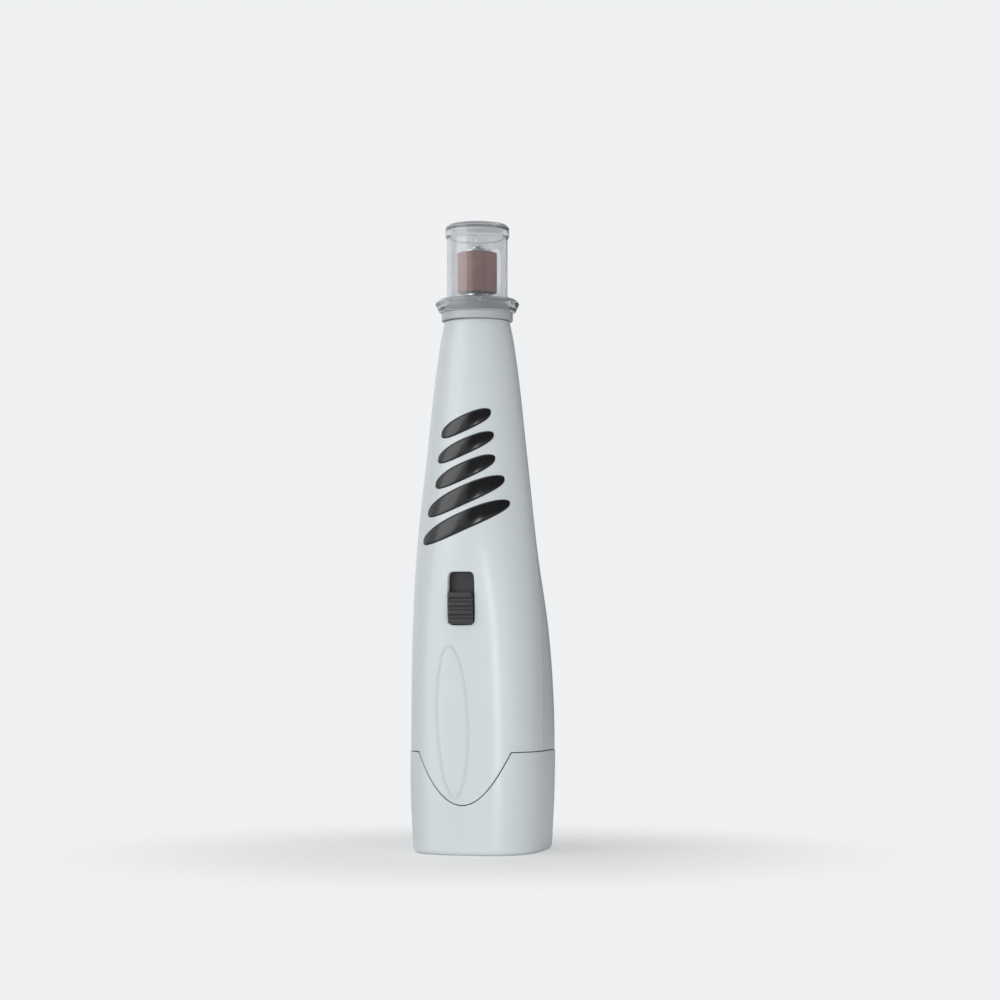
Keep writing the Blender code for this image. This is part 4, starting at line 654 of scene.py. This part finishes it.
cover_rim = []
for column in range(COVER_COLUMNS + 1):
    z = COVER_TOP
    for _ in range(SEAM_PASSES):
        point = body_point(z, cover_turn(column), -COVER_PROUD)
        z = seam(point.x, 0.0) if point.y < 0.0 else COVER_TOP
    cover_rim.append(z)


def cover_surface(column, row):
    turn = cover_turn(column)
    if row <= FLOOR_ROWS:
        point = body_point(0.0, turn, COVER_EDGE - COVER_PROUD)
        middle = Vector((0.0, section(0.0)[2], 0.0))
        return middle.lerp(point, row / FLOOR_ROWS)
    if row <= FLOOR_ROWS + EDGE_ROWS:
        bend = math.pi / 2 * (row - FLOOR_ROWS) / EDGE_ROWS
        return body_point(
            COVER_EDGE * (1 - math.cos(bend)), turn, COVER_EDGE * (1 - math.sin(bend)) - COVER_PROUD
        )
    share = (row - FLOOR_ROWS - EDGE_ROWS) / COVER_ROWS
    return body_point(COVER_EDGE + (cover_rim[column] - COVER_EDGE) * share, turn, -COVER_PROUD)


cover_shell = wrapped(
    "battery_cover_shell", COVER_COLUMNS, FLOOR_ROWS + EDGE_ROWS + COVER_ROWS, cover_surface, "cover",
    COVER_GREY,
)
thicken(cover_shell, WALL)
COVER_SOFT = 0.00018
soften(cover_shell, COVER_SOFT)
settle(cover_shell)
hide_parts("battery_cover")
RIDGE_HEIGHTS = (0.0095, 0.0125, 0.0155, 0.0185, 0.0215)
RIDGE_RADIUS = 0.0009
RIDGE_HALF = 0.0085
RIDGE_STEPS = 40
RIDGE_SIDES = 24
RIDGE_POWER = 14


def ridge_surface(height):
    """A thumb ridge: a round bar with full, rounded ends, half sunk in the cover's back."""

    def surface(column, row):
        turn = 2 * math.pi * column / RIDGE_SIDES
        along = math.cos(math.pi * row / RIDGE_STEPS)
        radius = RIDGE_RADIUS * min(1.0, (1 - abs(along) ** RIDGE_POWER)) ** 0.5
        x = RIDGE_HALF * along
        z = height + radius * math.cos(turn)
        y = face_y(height, x, -COVER_PROUD, side=1.0) - RIDGE_RADIUS / 2 + radius * math.sin(turn)
        return Vector((x, y, z))

    return surface


for i, height in enumerate(RIDGE_HEIGHTS, start=1):
    bar = ridge_surface(height)
    ridge = wrapped(f"thumb_ridge_{i}", RIDGE_SIDES, RIDGE_STEPS, bar, "cover", COVER_GREY)

# ---- Neck collar ----
# A thin ring moulded in grey ABS, coloured darker than the shells as painted shade for the shadow under the
# guard's flange. It slips over the spigots of the two shells and closes them at the neck, and the guard
# fits over its narrower upper part.
ROUND_CORNER_STEPS = 4


def rounded(profile, radius=0.0003):
    """Rounds the corners of a profile, apart from those on the axis."""
    points = []
    for i, corner in enumerate(profile):
        before, after = profile[i - 1], profile[(i + 1) % len(profile)]
        here = Vector(corner)
        if corner[0] == 0.0:
            points.append(corner)
            continue
        a, b = Vector(before) - here, Vector(after) - here
        reach = min(radius, a.length * 0.45, b.length * 0.45)
        start, end = here + a.normalized() * reach, here + b.normalized() * reach
        for step in range(ROUND_CORNER_STEPS + 1):
            t = step / ROUND_CORNER_STEPS
            points.append(tuple(start * (1 - t) ** 2 + here * 2 * t * (1 - t) + end * t**2))
    return points


# The ring's grey is darker than the shells' grey: the difference is painted shade for the shadow under the
# flange.
COLLAR_SHADE_GREY = moulded("collar_grey", (0.41, 0.435, 0.445), 0.34)
COLLAR_STEPS = 128
COLLAR = [  # radius, height
    (0.0109, 0.1746), (0.0109, 0.1712), (0.0114, 0.1712), (0.0114, 0.1687), (0.0095, 0.1687),
    (0.0095, 0.1736), (0.0082, 0.1736), (0.0082, 0.1746),
]
collar = spun("neck_ring", rounded(COLLAR), COLLAR_STEPS, "housing", COLLAR_SHADE_GREY)
settle(collar)
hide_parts("neck_collar")

# ---- Guard ----
# A hood moulded in clear polycarbonate stands over the drum on a wide round flange. Its rim is thicker, and
# an opening at the back lets the tip of a claw in against the drum. It pulls off upwards.
CLEAR, clear_tree, clear_shader = nodes_of(
    "clear_polycarbonate", Base_Color=(0.81, 0.83, 0.85, 1), Transmission_Weight=0.91, IOR=1.49,
    Roughness=0.08,
)
spread(clear_tree, noise(clear_tree, 260.0).outputs["Fac"], 0.05, 0.13, clear_shader.inputs["Roughness"])
bump(clear_tree, clear_shader, noise(clear_tree, 900.0, 1.0).outputs["Fac"], 0.00002, 0.25)
GUARD_STEPS = 160
GUARD_CORNER = 0.0004
GUARD = [  # radius, height
    (0.0, 0.1998), (0.0092, 0.1998), (0.0102, 0.1988), (0.0102, 0.1958), (0.0097, 0.1953),
    (0.0097, 0.1756), (0.0122, 0.1756), (0.0135, 0.1743), (0.0122, 0.1715), (0.0113, 0.1715),
    (0.0113, 0.1749), (0.0084, 0.1749), (0.0084, 0.1980), (0.0, 0.1980),
]
guard = spun("clear_guard", rounded(GUARD, GUARD_CORNER), GUARD_STEPS, "guard", CLEAR)
NAIL_HALF = (0.0068, 0.0080)
NAIL_MIDDLE = 0.1855
NAIL_POWER = 5
NAIL_CUT = (0.002, 0.002, 0.03, 0.03)


def nail_outline(column, row):
    turn = 2 * math.pi * column / OUTLINE_SIDES
    c, s = math.cos(turn), math.sin(turn)
    squared = (abs(c) ** NAIL_POWER + abs(s) ** NAIL_POWER) ** (-1 / NAIL_POWER) if row in (1, 2) else 0.0
    z = NAIL_MIDDLE + NAIL_HALF[1] * squared * s
    return Vector((NAIL_HALF[0] * squared * c, NAIL_CUT[row], z))


nail_tool = wrapped("nail_tool", OUTLINE_SIDES, 3, nail_outline, None, None)
settle(guard, [nail_tool])
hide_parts("guard")

# ---- Sanding band and drum ----
# A half-inch sleeve of cloth with reddish brown aluminium oxide grit bonded to it. It slips over a moulded
# rubber drum, which bulges a little when its screw is tightened and so grips the band.
GRIT, grit_tree, grit_shader = nodes_of("grit", Roughness=0.85, Specular_IOR_Level=0.35)
grains = noise(grit_tree, 2600.0, 6.0, 0.7)
spread(
    grit_tree, grains.outputs["Fac"], (0.300, 0.095, 0.065), (0.620, 0.215, 0.155),
    grit_shader.inputs["Base Color"], 0.38, 0.62,
)
bump(grit_tree, grit_shader, grains.outputs["Fac"], 0.0002, 1.0)
BAND_TOP = 0.1905
BAND_LOW = 0.1778
BAND_STEPS = 128
BAND_CORNER = 0.0001
BAND = [(0.00635, BAND_TOP), (0.00635, BAND_LOW), (0.00585, BAND_LOW), (0.00585, BAND_TOP)]
band = spun("abrasive_band", rounded(BAND, BAND_CORNER), BAND_STEPS, "spindle", GRIT)
settle(band)
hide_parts("sanding_band")
DRUM_RUBBER = moulded("drum_rubber", (0.030, 0.028, 0.027), 0.60, shade=0.8)
DRUM_STEPS = 96
DRUM = [(0.00555, BAND_TOP), (0.00555, BAND_LOW), (0.0023, BAND_LOW), (0.0023, BAND_TOP)]
drum = spun("rubber_drum", rounded(DRUM), DRUM_STEPS, "spindle", DRUM_RUBBER)
settle(drum)
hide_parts("drum_core")

# ---- Spindle, washer and drum screw ----
# The spindle is turned from bright steel, with a shoulder that the drum sits on. A stamped washer and a
# domed screw with a cross recess, of the same steel, clamp the drum from above.
STEEL, steel_tree, steel_shader = nodes_of("bright_steel", Base_Color=(0.74, 0.74, 0.75, 1), Metallic=1.0)
spread(steel_tree, noise(steel_tree, 1200.0).outputs["Fac"], 0.14, 0.30, steel_shader.inputs["Roughness"])
bump(steel_tree, steel_shader, noise(steel_tree, 4000.0).outputs["Fac"], 0.00001, 0.3)
SPINDLE_STEPS = 64
SPINDLE_CORNER = 0.0002
SPINDLE = [  # radius, height
    (0.0, 0.1855), (0.0015, 0.1855), (0.0015, 0.1902), (0.0020, 0.1902), (0.0020, 0.1775),
    (0.0042, 0.1775), (0.0042, 0.1762), (0.0020, 0.1762), (0.0020, 0.1405), (0.0, 0.1405),
]
spindle = spun("turned_mandrel", rounded(SPINDLE, SPINDLE_CORNER), SPINDLE_STEPS, "spindle", STEEL)
settle(spindle)
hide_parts("mandrel")
WASHER_CORNER = 0.00015
WASHER = [(0.0050, 0.1915), (0.0050, 0.1908), (0.0015, 0.1908), (0.0015, 0.1915)]
washer = spun("clamp_washer", rounded(WASHER, WASHER_CORNER), SPINDLE_STEPS, "spindle", STEEL)
settle(washer)
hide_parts("drum_washer")
CLAMP_HEAD_Z = 0.1923
CLAMP_DOME = 0.0012
CLAMP_TOP = 0.1935
CLAMP_SHANK = [(HEAD_RADIUS, 0.1918), (0.0012, 0.1918), (0.0012, 0.1858), (0.0, 0.1858)]
clamp_head = [
    (HEAD_RADIUS * math.sin(a), CLAMP_HEAD_Z + CLAMP_DOME * math.cos(a))
    for a in np.linspace(0, math.pi / 2, 10)
]
clamp_screw = spun("clamp_screw", clamp_head + CLAMP_SHANK, SPINDLE_STEPS, "spindle", STEEL)
settle(clamp_screw, cross_tools("clamp_recess", Matrix.Identity(4), CLAMP_TOP))
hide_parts("drum_screw")

# ---- Lamp ----
# A small LED with a clear, faintly yellow epoxy lens. It stands in the nose under the back of the drum,
# where it lights the claw, and its two bright leads go down through the nose holder to the red wires.
LENS, lens_tree, lens_shader = nodes_of(
    "lamp_lens", Base_Color=(0.93, 0.86, 0.60, 1), Transmission_Weight=0.7, Roughness=0.12, IOR=1.5
)
spread(lens_tree, noise(lens_tree, 900.0).outputs["Fac"], 0.08, 0.18, lens_shader.inputs["Roughness"])
LAMP_Y = 0.0062
LENS_RADIUS = 0.0015
LENS_Z = 0.1756
LAMP_FOOT = [(LENS_RADIUS, 0.1741), (LENS_RADIUS, 0.1736), (0.0, 0.1736)]
lens_dome = [
    (LENS_RADIUS * math.sin(a), LENS_Z + LENS_RADIUS * math.cos(a)) for a in np.linspace(0, math.pi / 2, 10)
]
lamp = spun(
    "lamp", lens_dome + LAMP_FOOT, ROUND_STEPS, "housing", LENS, Matrix.Translation((0.0, LAMP_Y, 0.0))
)
settle(lamp)
LEADS = {"left": -0.0009, "right": 0.0009}
LEAD_MIDDLE_Z = 0.1680
LEAD_SIZE = (0.0005, 0.0005, 0.0140)
LEAD_EDGE = 0.00008
for side, x in LEADS.items():
    lead = block(
        f"lamp_lead_{side}", Matrix.Translation((x, LAMP_Y, LEAD_MIDDLE_Z)), LEAD_SIZE, "housing", STEEL
    )
    soften(lead, LEAD_EDGE)
    settle(lead)
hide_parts("led")

# ---- Switch knob ----
# A slide knob moulded in black ABS, with three finger grooves. It runs up and down in the front window and
# sets the speed, and a flat plate behind the wall keeps it in its window.
KNOB_BLACK = moulded("knob_black", (0.030, 0.030, 0.032), 0.38, shade=0.85)
KNOB_LOW = 0.0718
KNOB_HIGH = 0.0818
KNOB_HALF = 0.0040
KNOB_FACE = -0.01953
KNOB_BACK = -0.0145
KNOB_EDGE = 0.0007
KNOB_MIDDLE_Z = (KNOB_LOW + KNOB_HIGH) / 2
knob = block(
    "slide_knob", Matrix.Translation((0.0, (KNOB_FACE + KNOB_BACK) / 2, KNOB_MIDDLE_Z)),
    (2 * KNOB_HALF, KNOB_BACK - KNOB_FACE, KNOB_HIGH - KNOB_LOW), "switch", KNOB_BLACK,
)
soften(knob, KNOB_EDGE, 4)
PLATE_MIDDLE = (0.0, -0.01498, 0.0768)
PLATE_SIZE = (0.0120, 0.0010, 0.0250)
PLATE_EDGE = 0.0002
slide = block("knob_slide", Matrix.Translation(PLATE_MIDDLE), PLATE_SIZE, "switch", KNOB_BLACK)
soften(slide, PLATE_EDGE)
settle(slide)
GROOVE_PITCH = 0.0026
GROOVE_RADIUS = 0.0008
GROOVE_Y = KNOB_FACE - 0.0002
grooves = []
for i in (-1, 0, 1):
    bm = bmesh.new()
    bmesh.ops.create_cone(
        bm, cap_ends=True, segments=32, radius1=GROOVE_RADIUS, radius2=GROOVE_RADIUS, depth=3 * KNOB_HALF,
        matrix=Matrix.Translation((0, GROOVE_Y, KNOB_MIDDLE_Z + i * GROOVE_PITCH))
        @ Matrix.Rotation(math.pi / 2, 4, "Y"),
    )
    grooves.append(made(f"groove_{i}", bm, None, None))
settle(knob, grooves)
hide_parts("switch_knob")

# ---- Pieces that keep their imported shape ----
# The pieces inside the shells, from the motor and its bearings to the cells and the control board, keep
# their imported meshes. Each gets the finish of what it is made of: steel, copper, brass, ferrite, moulded
# plastic, rubber, felt or the cells' plain sleeve.
HOLDER_BLACK = moulded("holder_black", (0.045, 0.045, 0.050), 0.45, shade=0.85)
FELT, felt_tree, felt_shader = nodes_of(
    "felt", Base_Color=(0.20, 0.20, 0.20, 1), Roughness=0.95, Sheen_Weight=0.4
)
fibres = noise(felt_tree, 3000.0, 6.0, 0.8)
FELT_DARK = (0.12, 0.12, 0.12)
FELT_PALE = (0.27, 0.27, 0.26)
spread(felt_tree, fibres.outputs["Fac"], FELT_DARK, FELT_PALE, felt_shader.inputs["Base Color"])
bump(felt_tree, felt_shader, fibres.outputs["Fac"], 0.0003, 0.9)


def metal(name, colour, low, high, scale=900.0):
    """Bare or plated metal, cloudy in its colour and gloss, with roughness from low to high."""
    material, tree, shader = nodes_of(name, Base_Color=(*colour, 1), Metallic=1.0)
    cloud = noise(tree, scale, 4.0)
    dull = tuple(c * 0.88 for c in colour)
    spread(tree, cloud.outputs["Fac"], dull, colour, shader.inputs["Base Color"])
    spread(tree, noise(tree, scale * 0.6).outputs["Fac"], low, high, shader.inputs["Roughness"])
    bump(tree, shader, noise(tree, scale * 5).outputs["Fac"], 0.00001, 0.4)
    return material


PLATED = metal("plated_steel", (0.55, 0.55, 0.56), 0.25, 0.42)
COPPER = metal("enamelled_copper", (0.72, 0.34, 0.18), 0.25, 0.42, 2600.0)
BRASS = metal("brass", (0.74, 0.56, 0.27), 0.24, 0.40)
FERRITE = moulded("ferrite", (0.055, 0.055, 0.060), 0.60, grain=0.00003, shade=0.75)
BOARD_GREEN = moulded("board_green", (0.015, 0.130, 0.055), 0.35, shade=0.8)
CHIP_BLACK = moulded("chip_black", (0.020, 0.020, 0.020), 0.50, shade=0.8)
CELL_WRAP = moulded("cell_wrap", (0.095, 0.115, 0.135), 0.26, shade=0.9)
CELL_PITCH = 0.0156
PACK_CENTRE_Y = 0.0075
CELL_CAP = 0.0060
CAP_STEEL = (0.66, 0.66, 0.67, 1.0)
wrap_tree = CELL_WRAP.node_tree
wrap_shader = wrap_tree.nodes["Principled BSDF"]
# The bare steel caps: every point closer to its own cell's axis than the sleeve's turned-in edge.
step = wrap_tree.nodes.new("ShaderNodeTexCoord").outputs["Object"]
for operation, amount in (
    ("SUBTRACT", (0.0, PACK_CENTRE_Y, 0.0)), ("ABSOLUTE", None), ("MULTIPLY", (1.0, 1.0, 0.0)),
    ("DISTANCE", (CELL_PITCH / 2, CELL_PITCH / 2, 0.0)),
):
    measure = wrap_tree.nodes.new("ShaderNodeVectorMath")
    measure.operation = operation
    wrap_tree.links.new(step, measure.inputs[0])
    if amount is not None:
        measure.inputs[1].default_value = amount
    step = measure.outputs["Value" if operation == "DISTANCE" else "Vector"]
bare = wrap_tree.nodes.new("ShaderNodeMath")
bare.operation = "LESS_THAN"
bare.inputs[1].default_value = CELL_CAP
wrap_tree.links.new(step, bare.inputs[0])
wrap_tree.links.new(bare.outputs["Value"], wrap_shader.inputs["Metallic"])
cap = add(wrap_tree, "ShaderNodeMix")
cap.data_type = "RGBA"
sleeve = wrap_shader.inputs["Base Color"].links[0].from_socket
wrap_tree.links.new(bare.outputs["Value"], cap.inputs["Factor"])
wrap_tree.links.new(sleeve, cap.inputs[6])
cap.inputs[7].default_value = CAP_STEEL
wrap_tree.links.new(cap.outputs[2], wrap_shader.inputs["Base Color"])
WIRE_RED = moulded("wire_red", (0.45, 0.025, 0.018), 0.45, shade=0.85)
MOUNT_RUBBER = moulded("mount_rubber", (0.030, 0.030, 0.030), 0.70, grain=0.00003, shade=0.8)
FINISHES = {
    HOLDER_BLACK: ("nose_holder", "battery_carrier", "motor_endbell", "switch_lever"),
    FELT: ("nose_seal",),
    STEEL: (
        "motor_shaft", "front_bearing_outer", "front_bearing_inner", "rear_bearing_outer",
        "rear_bearing_inner", "top_spring_2", "top_spring_3", "cover_spring_1", "cover_spring_4",
    ),
    ZINC: ("board_screw_left", "board_screw_right"),
    PLATED: ("motor_can", "armature_core", "switch_body"),
    COPPER: ("armature_windings", "commutator"),
    BRASS: (
        "top_contact_rear", "top_contact_left", "top_contact_right", "cover_contact_front",
        "cover_contact_rear", "motor_terminal_left", "motor_terminal_right", "shaft_coupling",
    ),
    FERRITE: ("motor_magnet_front", "motor_magnet_rear", "motor_brush_left", "motor_brush_right"),
    BOARD_GREEN: ("control_board",),
    CHIP_BLACK: ("speed_chip",),
    CELL_WRAP: ("cell_1", "cell_2", "cell_3", "cell_4"),
    WIRE_RED: ("led_wire_left", "led_wire_right"),
    MOUNT_RUBBER: ("motor_mount_front", "motor_mount_rear"),
}
for finish, names in FINISHES.items():
    for name in names:
        nodes[name].data.materials.clear()
        nodes[name].data.materials.append(finish)

# ---- Floor and backdrop ----
# The floor catches a soft shadow round the grinder and is clear elsewhere, so the plain pale backdrop shows
# through it, and so does the battery cover when it is pulled down. It keeps no lamp off that cover.
BACKDROP = (0.865, 0.875, 0.885)
FLOOR_HALF = 6.0
SWEEP, sweep_tree, sweep_shader = nodes_of("sweep", Base_Color=(0.90, 0.90, 0.90, 1), Roughness=0.9)


def combined(tree, operation, first, second):
    """What a Math node makes of two outputs."""
    node = tree.nodes.new("ShaderNodeMath")
    node.operation = operation
    tree.links.new(first, node.inputs[0])
    tree.links.new(second, node.inputs[1])
    return node.outputs["Value"]


def blended(tree, share, first, second, result):
    """Feeds a blend of two shaders to the result, with share as the part of the second."""
    node = tree.nodes.new("ShaderNodeMixShader")
    tree.links.new(share, node.inputs["Fac"])
    tree.links.new(first, node.inputs[1])
    tree.links.new(second, node.inputs[2])
    tree.links.new(node.outputs["Shader"], result.inputs["Surface"])


clear = sweep_tree.nodes.new("ShaderNodeBsdfTransparent")
place = sweep_tree.nodes.new("ShaderNodeTexCoord")
reach = sweep_tree.nodes.new("ShaderNodeVectorMath")
reach.operation = "LENGTH"
fade = add(sweep_tree, "ShaderNodeMapRange", From_Min=0.02, From_Max=0.15, To_Min=0.50, To_Max=1.0)
fade.interpolation_type = "SMOOTHSTEP"
sweep_tree.links.new(place.outputs["Object"], reach.inputs[0])
sweep_tree.links.new(reach.outputs["Value"], fade.inputs["Value"])
path = sweep_tree.nodes.new("ShaderNodeLightPath")
side = sweep_tree.nodes.new("ShaderNodeNewGeometry")
seen = combined(sweep_tree, "MULTIPLY", path.outputs["Is Camera Ray"], fade.outputs["Result"])
seen = combined(sweep_tree, "MAXIMUM", seen, path.outputs["Is Shadow Ray"])
seen = combined(sweep_tree, "MAXIMUM", seen, side.outputs["Backfacing"])
blended(
    sweep_tree, seen, sweep_shader.outputs["BSDF"], clear.outputs["BSDF"],
    sweep_tree.nodes["Material Output"],
)
bm = bmesh.new()
bmesh.ops.create_grid(bm, x_segments=1, y_segments=1, size=FLOOR_HALF)
floor = made("floor", bm, None, SWEEP)
world = bpy.data.worlds.new("studio")
bpy.context.scene.world = world
world.use_nodes = True
sky = world.node_tree
around = sky.nodes["Background"]
around.inputs["Color"].default_value = (0.96, 0.98, 1.0, 1)
around.inputs["Strength"].default_value = 0.30
behind = add(sky, "ShaderNodeBackground", Color=(*BACKDROP, 1.0), Strength=1.0)
path = sky.nodes.new("ShaderNodeLightPath")
sees = path.outputs["Is Camera Ray"]
for kind in ("Is Glossy Ray", "Is Transmission Ray"):
    sees = combined(sky, "MAXIMUM", sees, path.outputs[kind])
blended(
    sky, sees, around.outputs["Background"], behind.outputs["Background"], sky.nodes["World Output"]
)

# ---- Lamps and flags ----
# A large soft box stands at the left, a low strip beside the camera puts a soft streak on the lower body,
# and a top light and two fills open the shade. Five black cards, in front of and over the grinder, at its
# right and behind it, darken its right side and keep the pale backdrop out of its gloss.
FLAG_BLACK = nodes_of("flag", Base_Color=(0.02, 0.02, 0.02, 1), Roughness=0.9)[0]
FLAGS = (  # name, bearing, distance, height, half size
    ("front", 27.0, 1.6, 1.25, 1.25),
    ("over", 10.0, 0.35, 1.30, 0.60),
    ("right", 84.0, 0.55, 0.30, 0.30),
    ("right_behind", 122.0, 0.55, 0.30, 0.30),
    ("behind", 162.0, 0.55, 0.30, 0.30),
)
STAGE_MIDDLE = Vector((0, 0, 0.10))
for name, bearing, distance, height, half in FLAGS:
    turn = math.radians(bearing)
    stand = Vector((distance * math.sin(turn), -distance * math.cos(turn), height))
    lie = Matrix.Translation(stand) @ (STAGE_MIDDLE - stand).to_track_quat("-Z", "Y").to_matrix().to_4x4()
    bm = bmesh.new()
    bmesh.ops.create_grid(bm, x_segments=1, y_segments=1, size=half, matrix=lie)
    flag = made(f"flag_{name}", bm, None, FLAG_BLACK)
    flag.visible_camera = False
    # The backdrop has to show through the clear guard, so the cards at the right and behind don't.
    flag.visible_transmission = name in ("front", "over")


def lamp_panel(name, bearing, distance, height, size, power, glossy=True):
    """An area lamp facing the grinder, bearing degrees to the right of its front; a fill isn't glossy."""
    light = bpy.data.lights.new(name, "AREA")
    light.shape = "RECTANGLE"
    light.size, light.size_y = size
    light.energy = power
    lamp_object = bpy.data.objects.new(name, light)
    bpy.context.scene.collection.objects.link(lamp_object)
    lamp_object.visible_glossy = lamp_object.visible_transmission = glossy
    turn = math.radians(bearing)
    lamp_object.location = (distance * math.sin(turn), -distance * math.cos(turn), height)
    lamp_object.rotation_euler = (STAGE_MIDDLE - lamp_object.location).to_track_quat("-Z", "Y").to_euler()


lamp_panel("soft_box", -47.0, 1.0, 0.30, (0.80, 1.3), 6.3)
lamp_panel("front_fill", 48.0, 0.45, 0.05, (0.34, 0.34), 1.15, glossy=False)
lamp_panel("low_strip", 24.0, 0.9, 0.03, (0.10, 0.26), 1.1)
lamp_panel("top_light", 10.0, 0.35, 1.1, (0.8, 0.8), 2.5)
lamp_panel("back_fill", -138.0, 1.4, 0.35, (0.8, 0.8), 4.0, glossy=False)

# ---- Camera ----
# It stands low, a little to the right of the front, and looks up slightly to the grinder's middle. The long
# lens keeps the sides of the grip close to straight.
AZIMUTH = math.radians(15.5)
DISTANCE = 0.796
EYE_Z = 0.064
AIM_Z = 0.1115
AIM_RIGHT = 0.0073
towards = Vector((math.sin(AZIMUTH), -math.cos(AZIMUTH), 0.0))
rightwards = Vector((math.cos(AZIMUTH), math.sin(AZIMUTH), 0.0))
aim = rightwards * AIM_RIGHT + Vector((0, 0, AIM_Z))
view = bpy.data.cameras.new("view")
view.lens = 90.0
view.sensor_width = 36.0
view.clip_start = 0.01
camera = bpy.data.objects.new("camera", view)
bpy.context.scene.collection.objects.link(camera)
camera.location = rightwards * AIM_RIGHT + towards * DISTANCE + Vector((0, 0, EYE_Z))
camera.rotation_euler = (aim - camera.location).to_track_quat("-Z", "Y").to_euler()
bpy.context.scene.camera = camera
bpy.context.scene.view_settings.view_transform = "Standard"
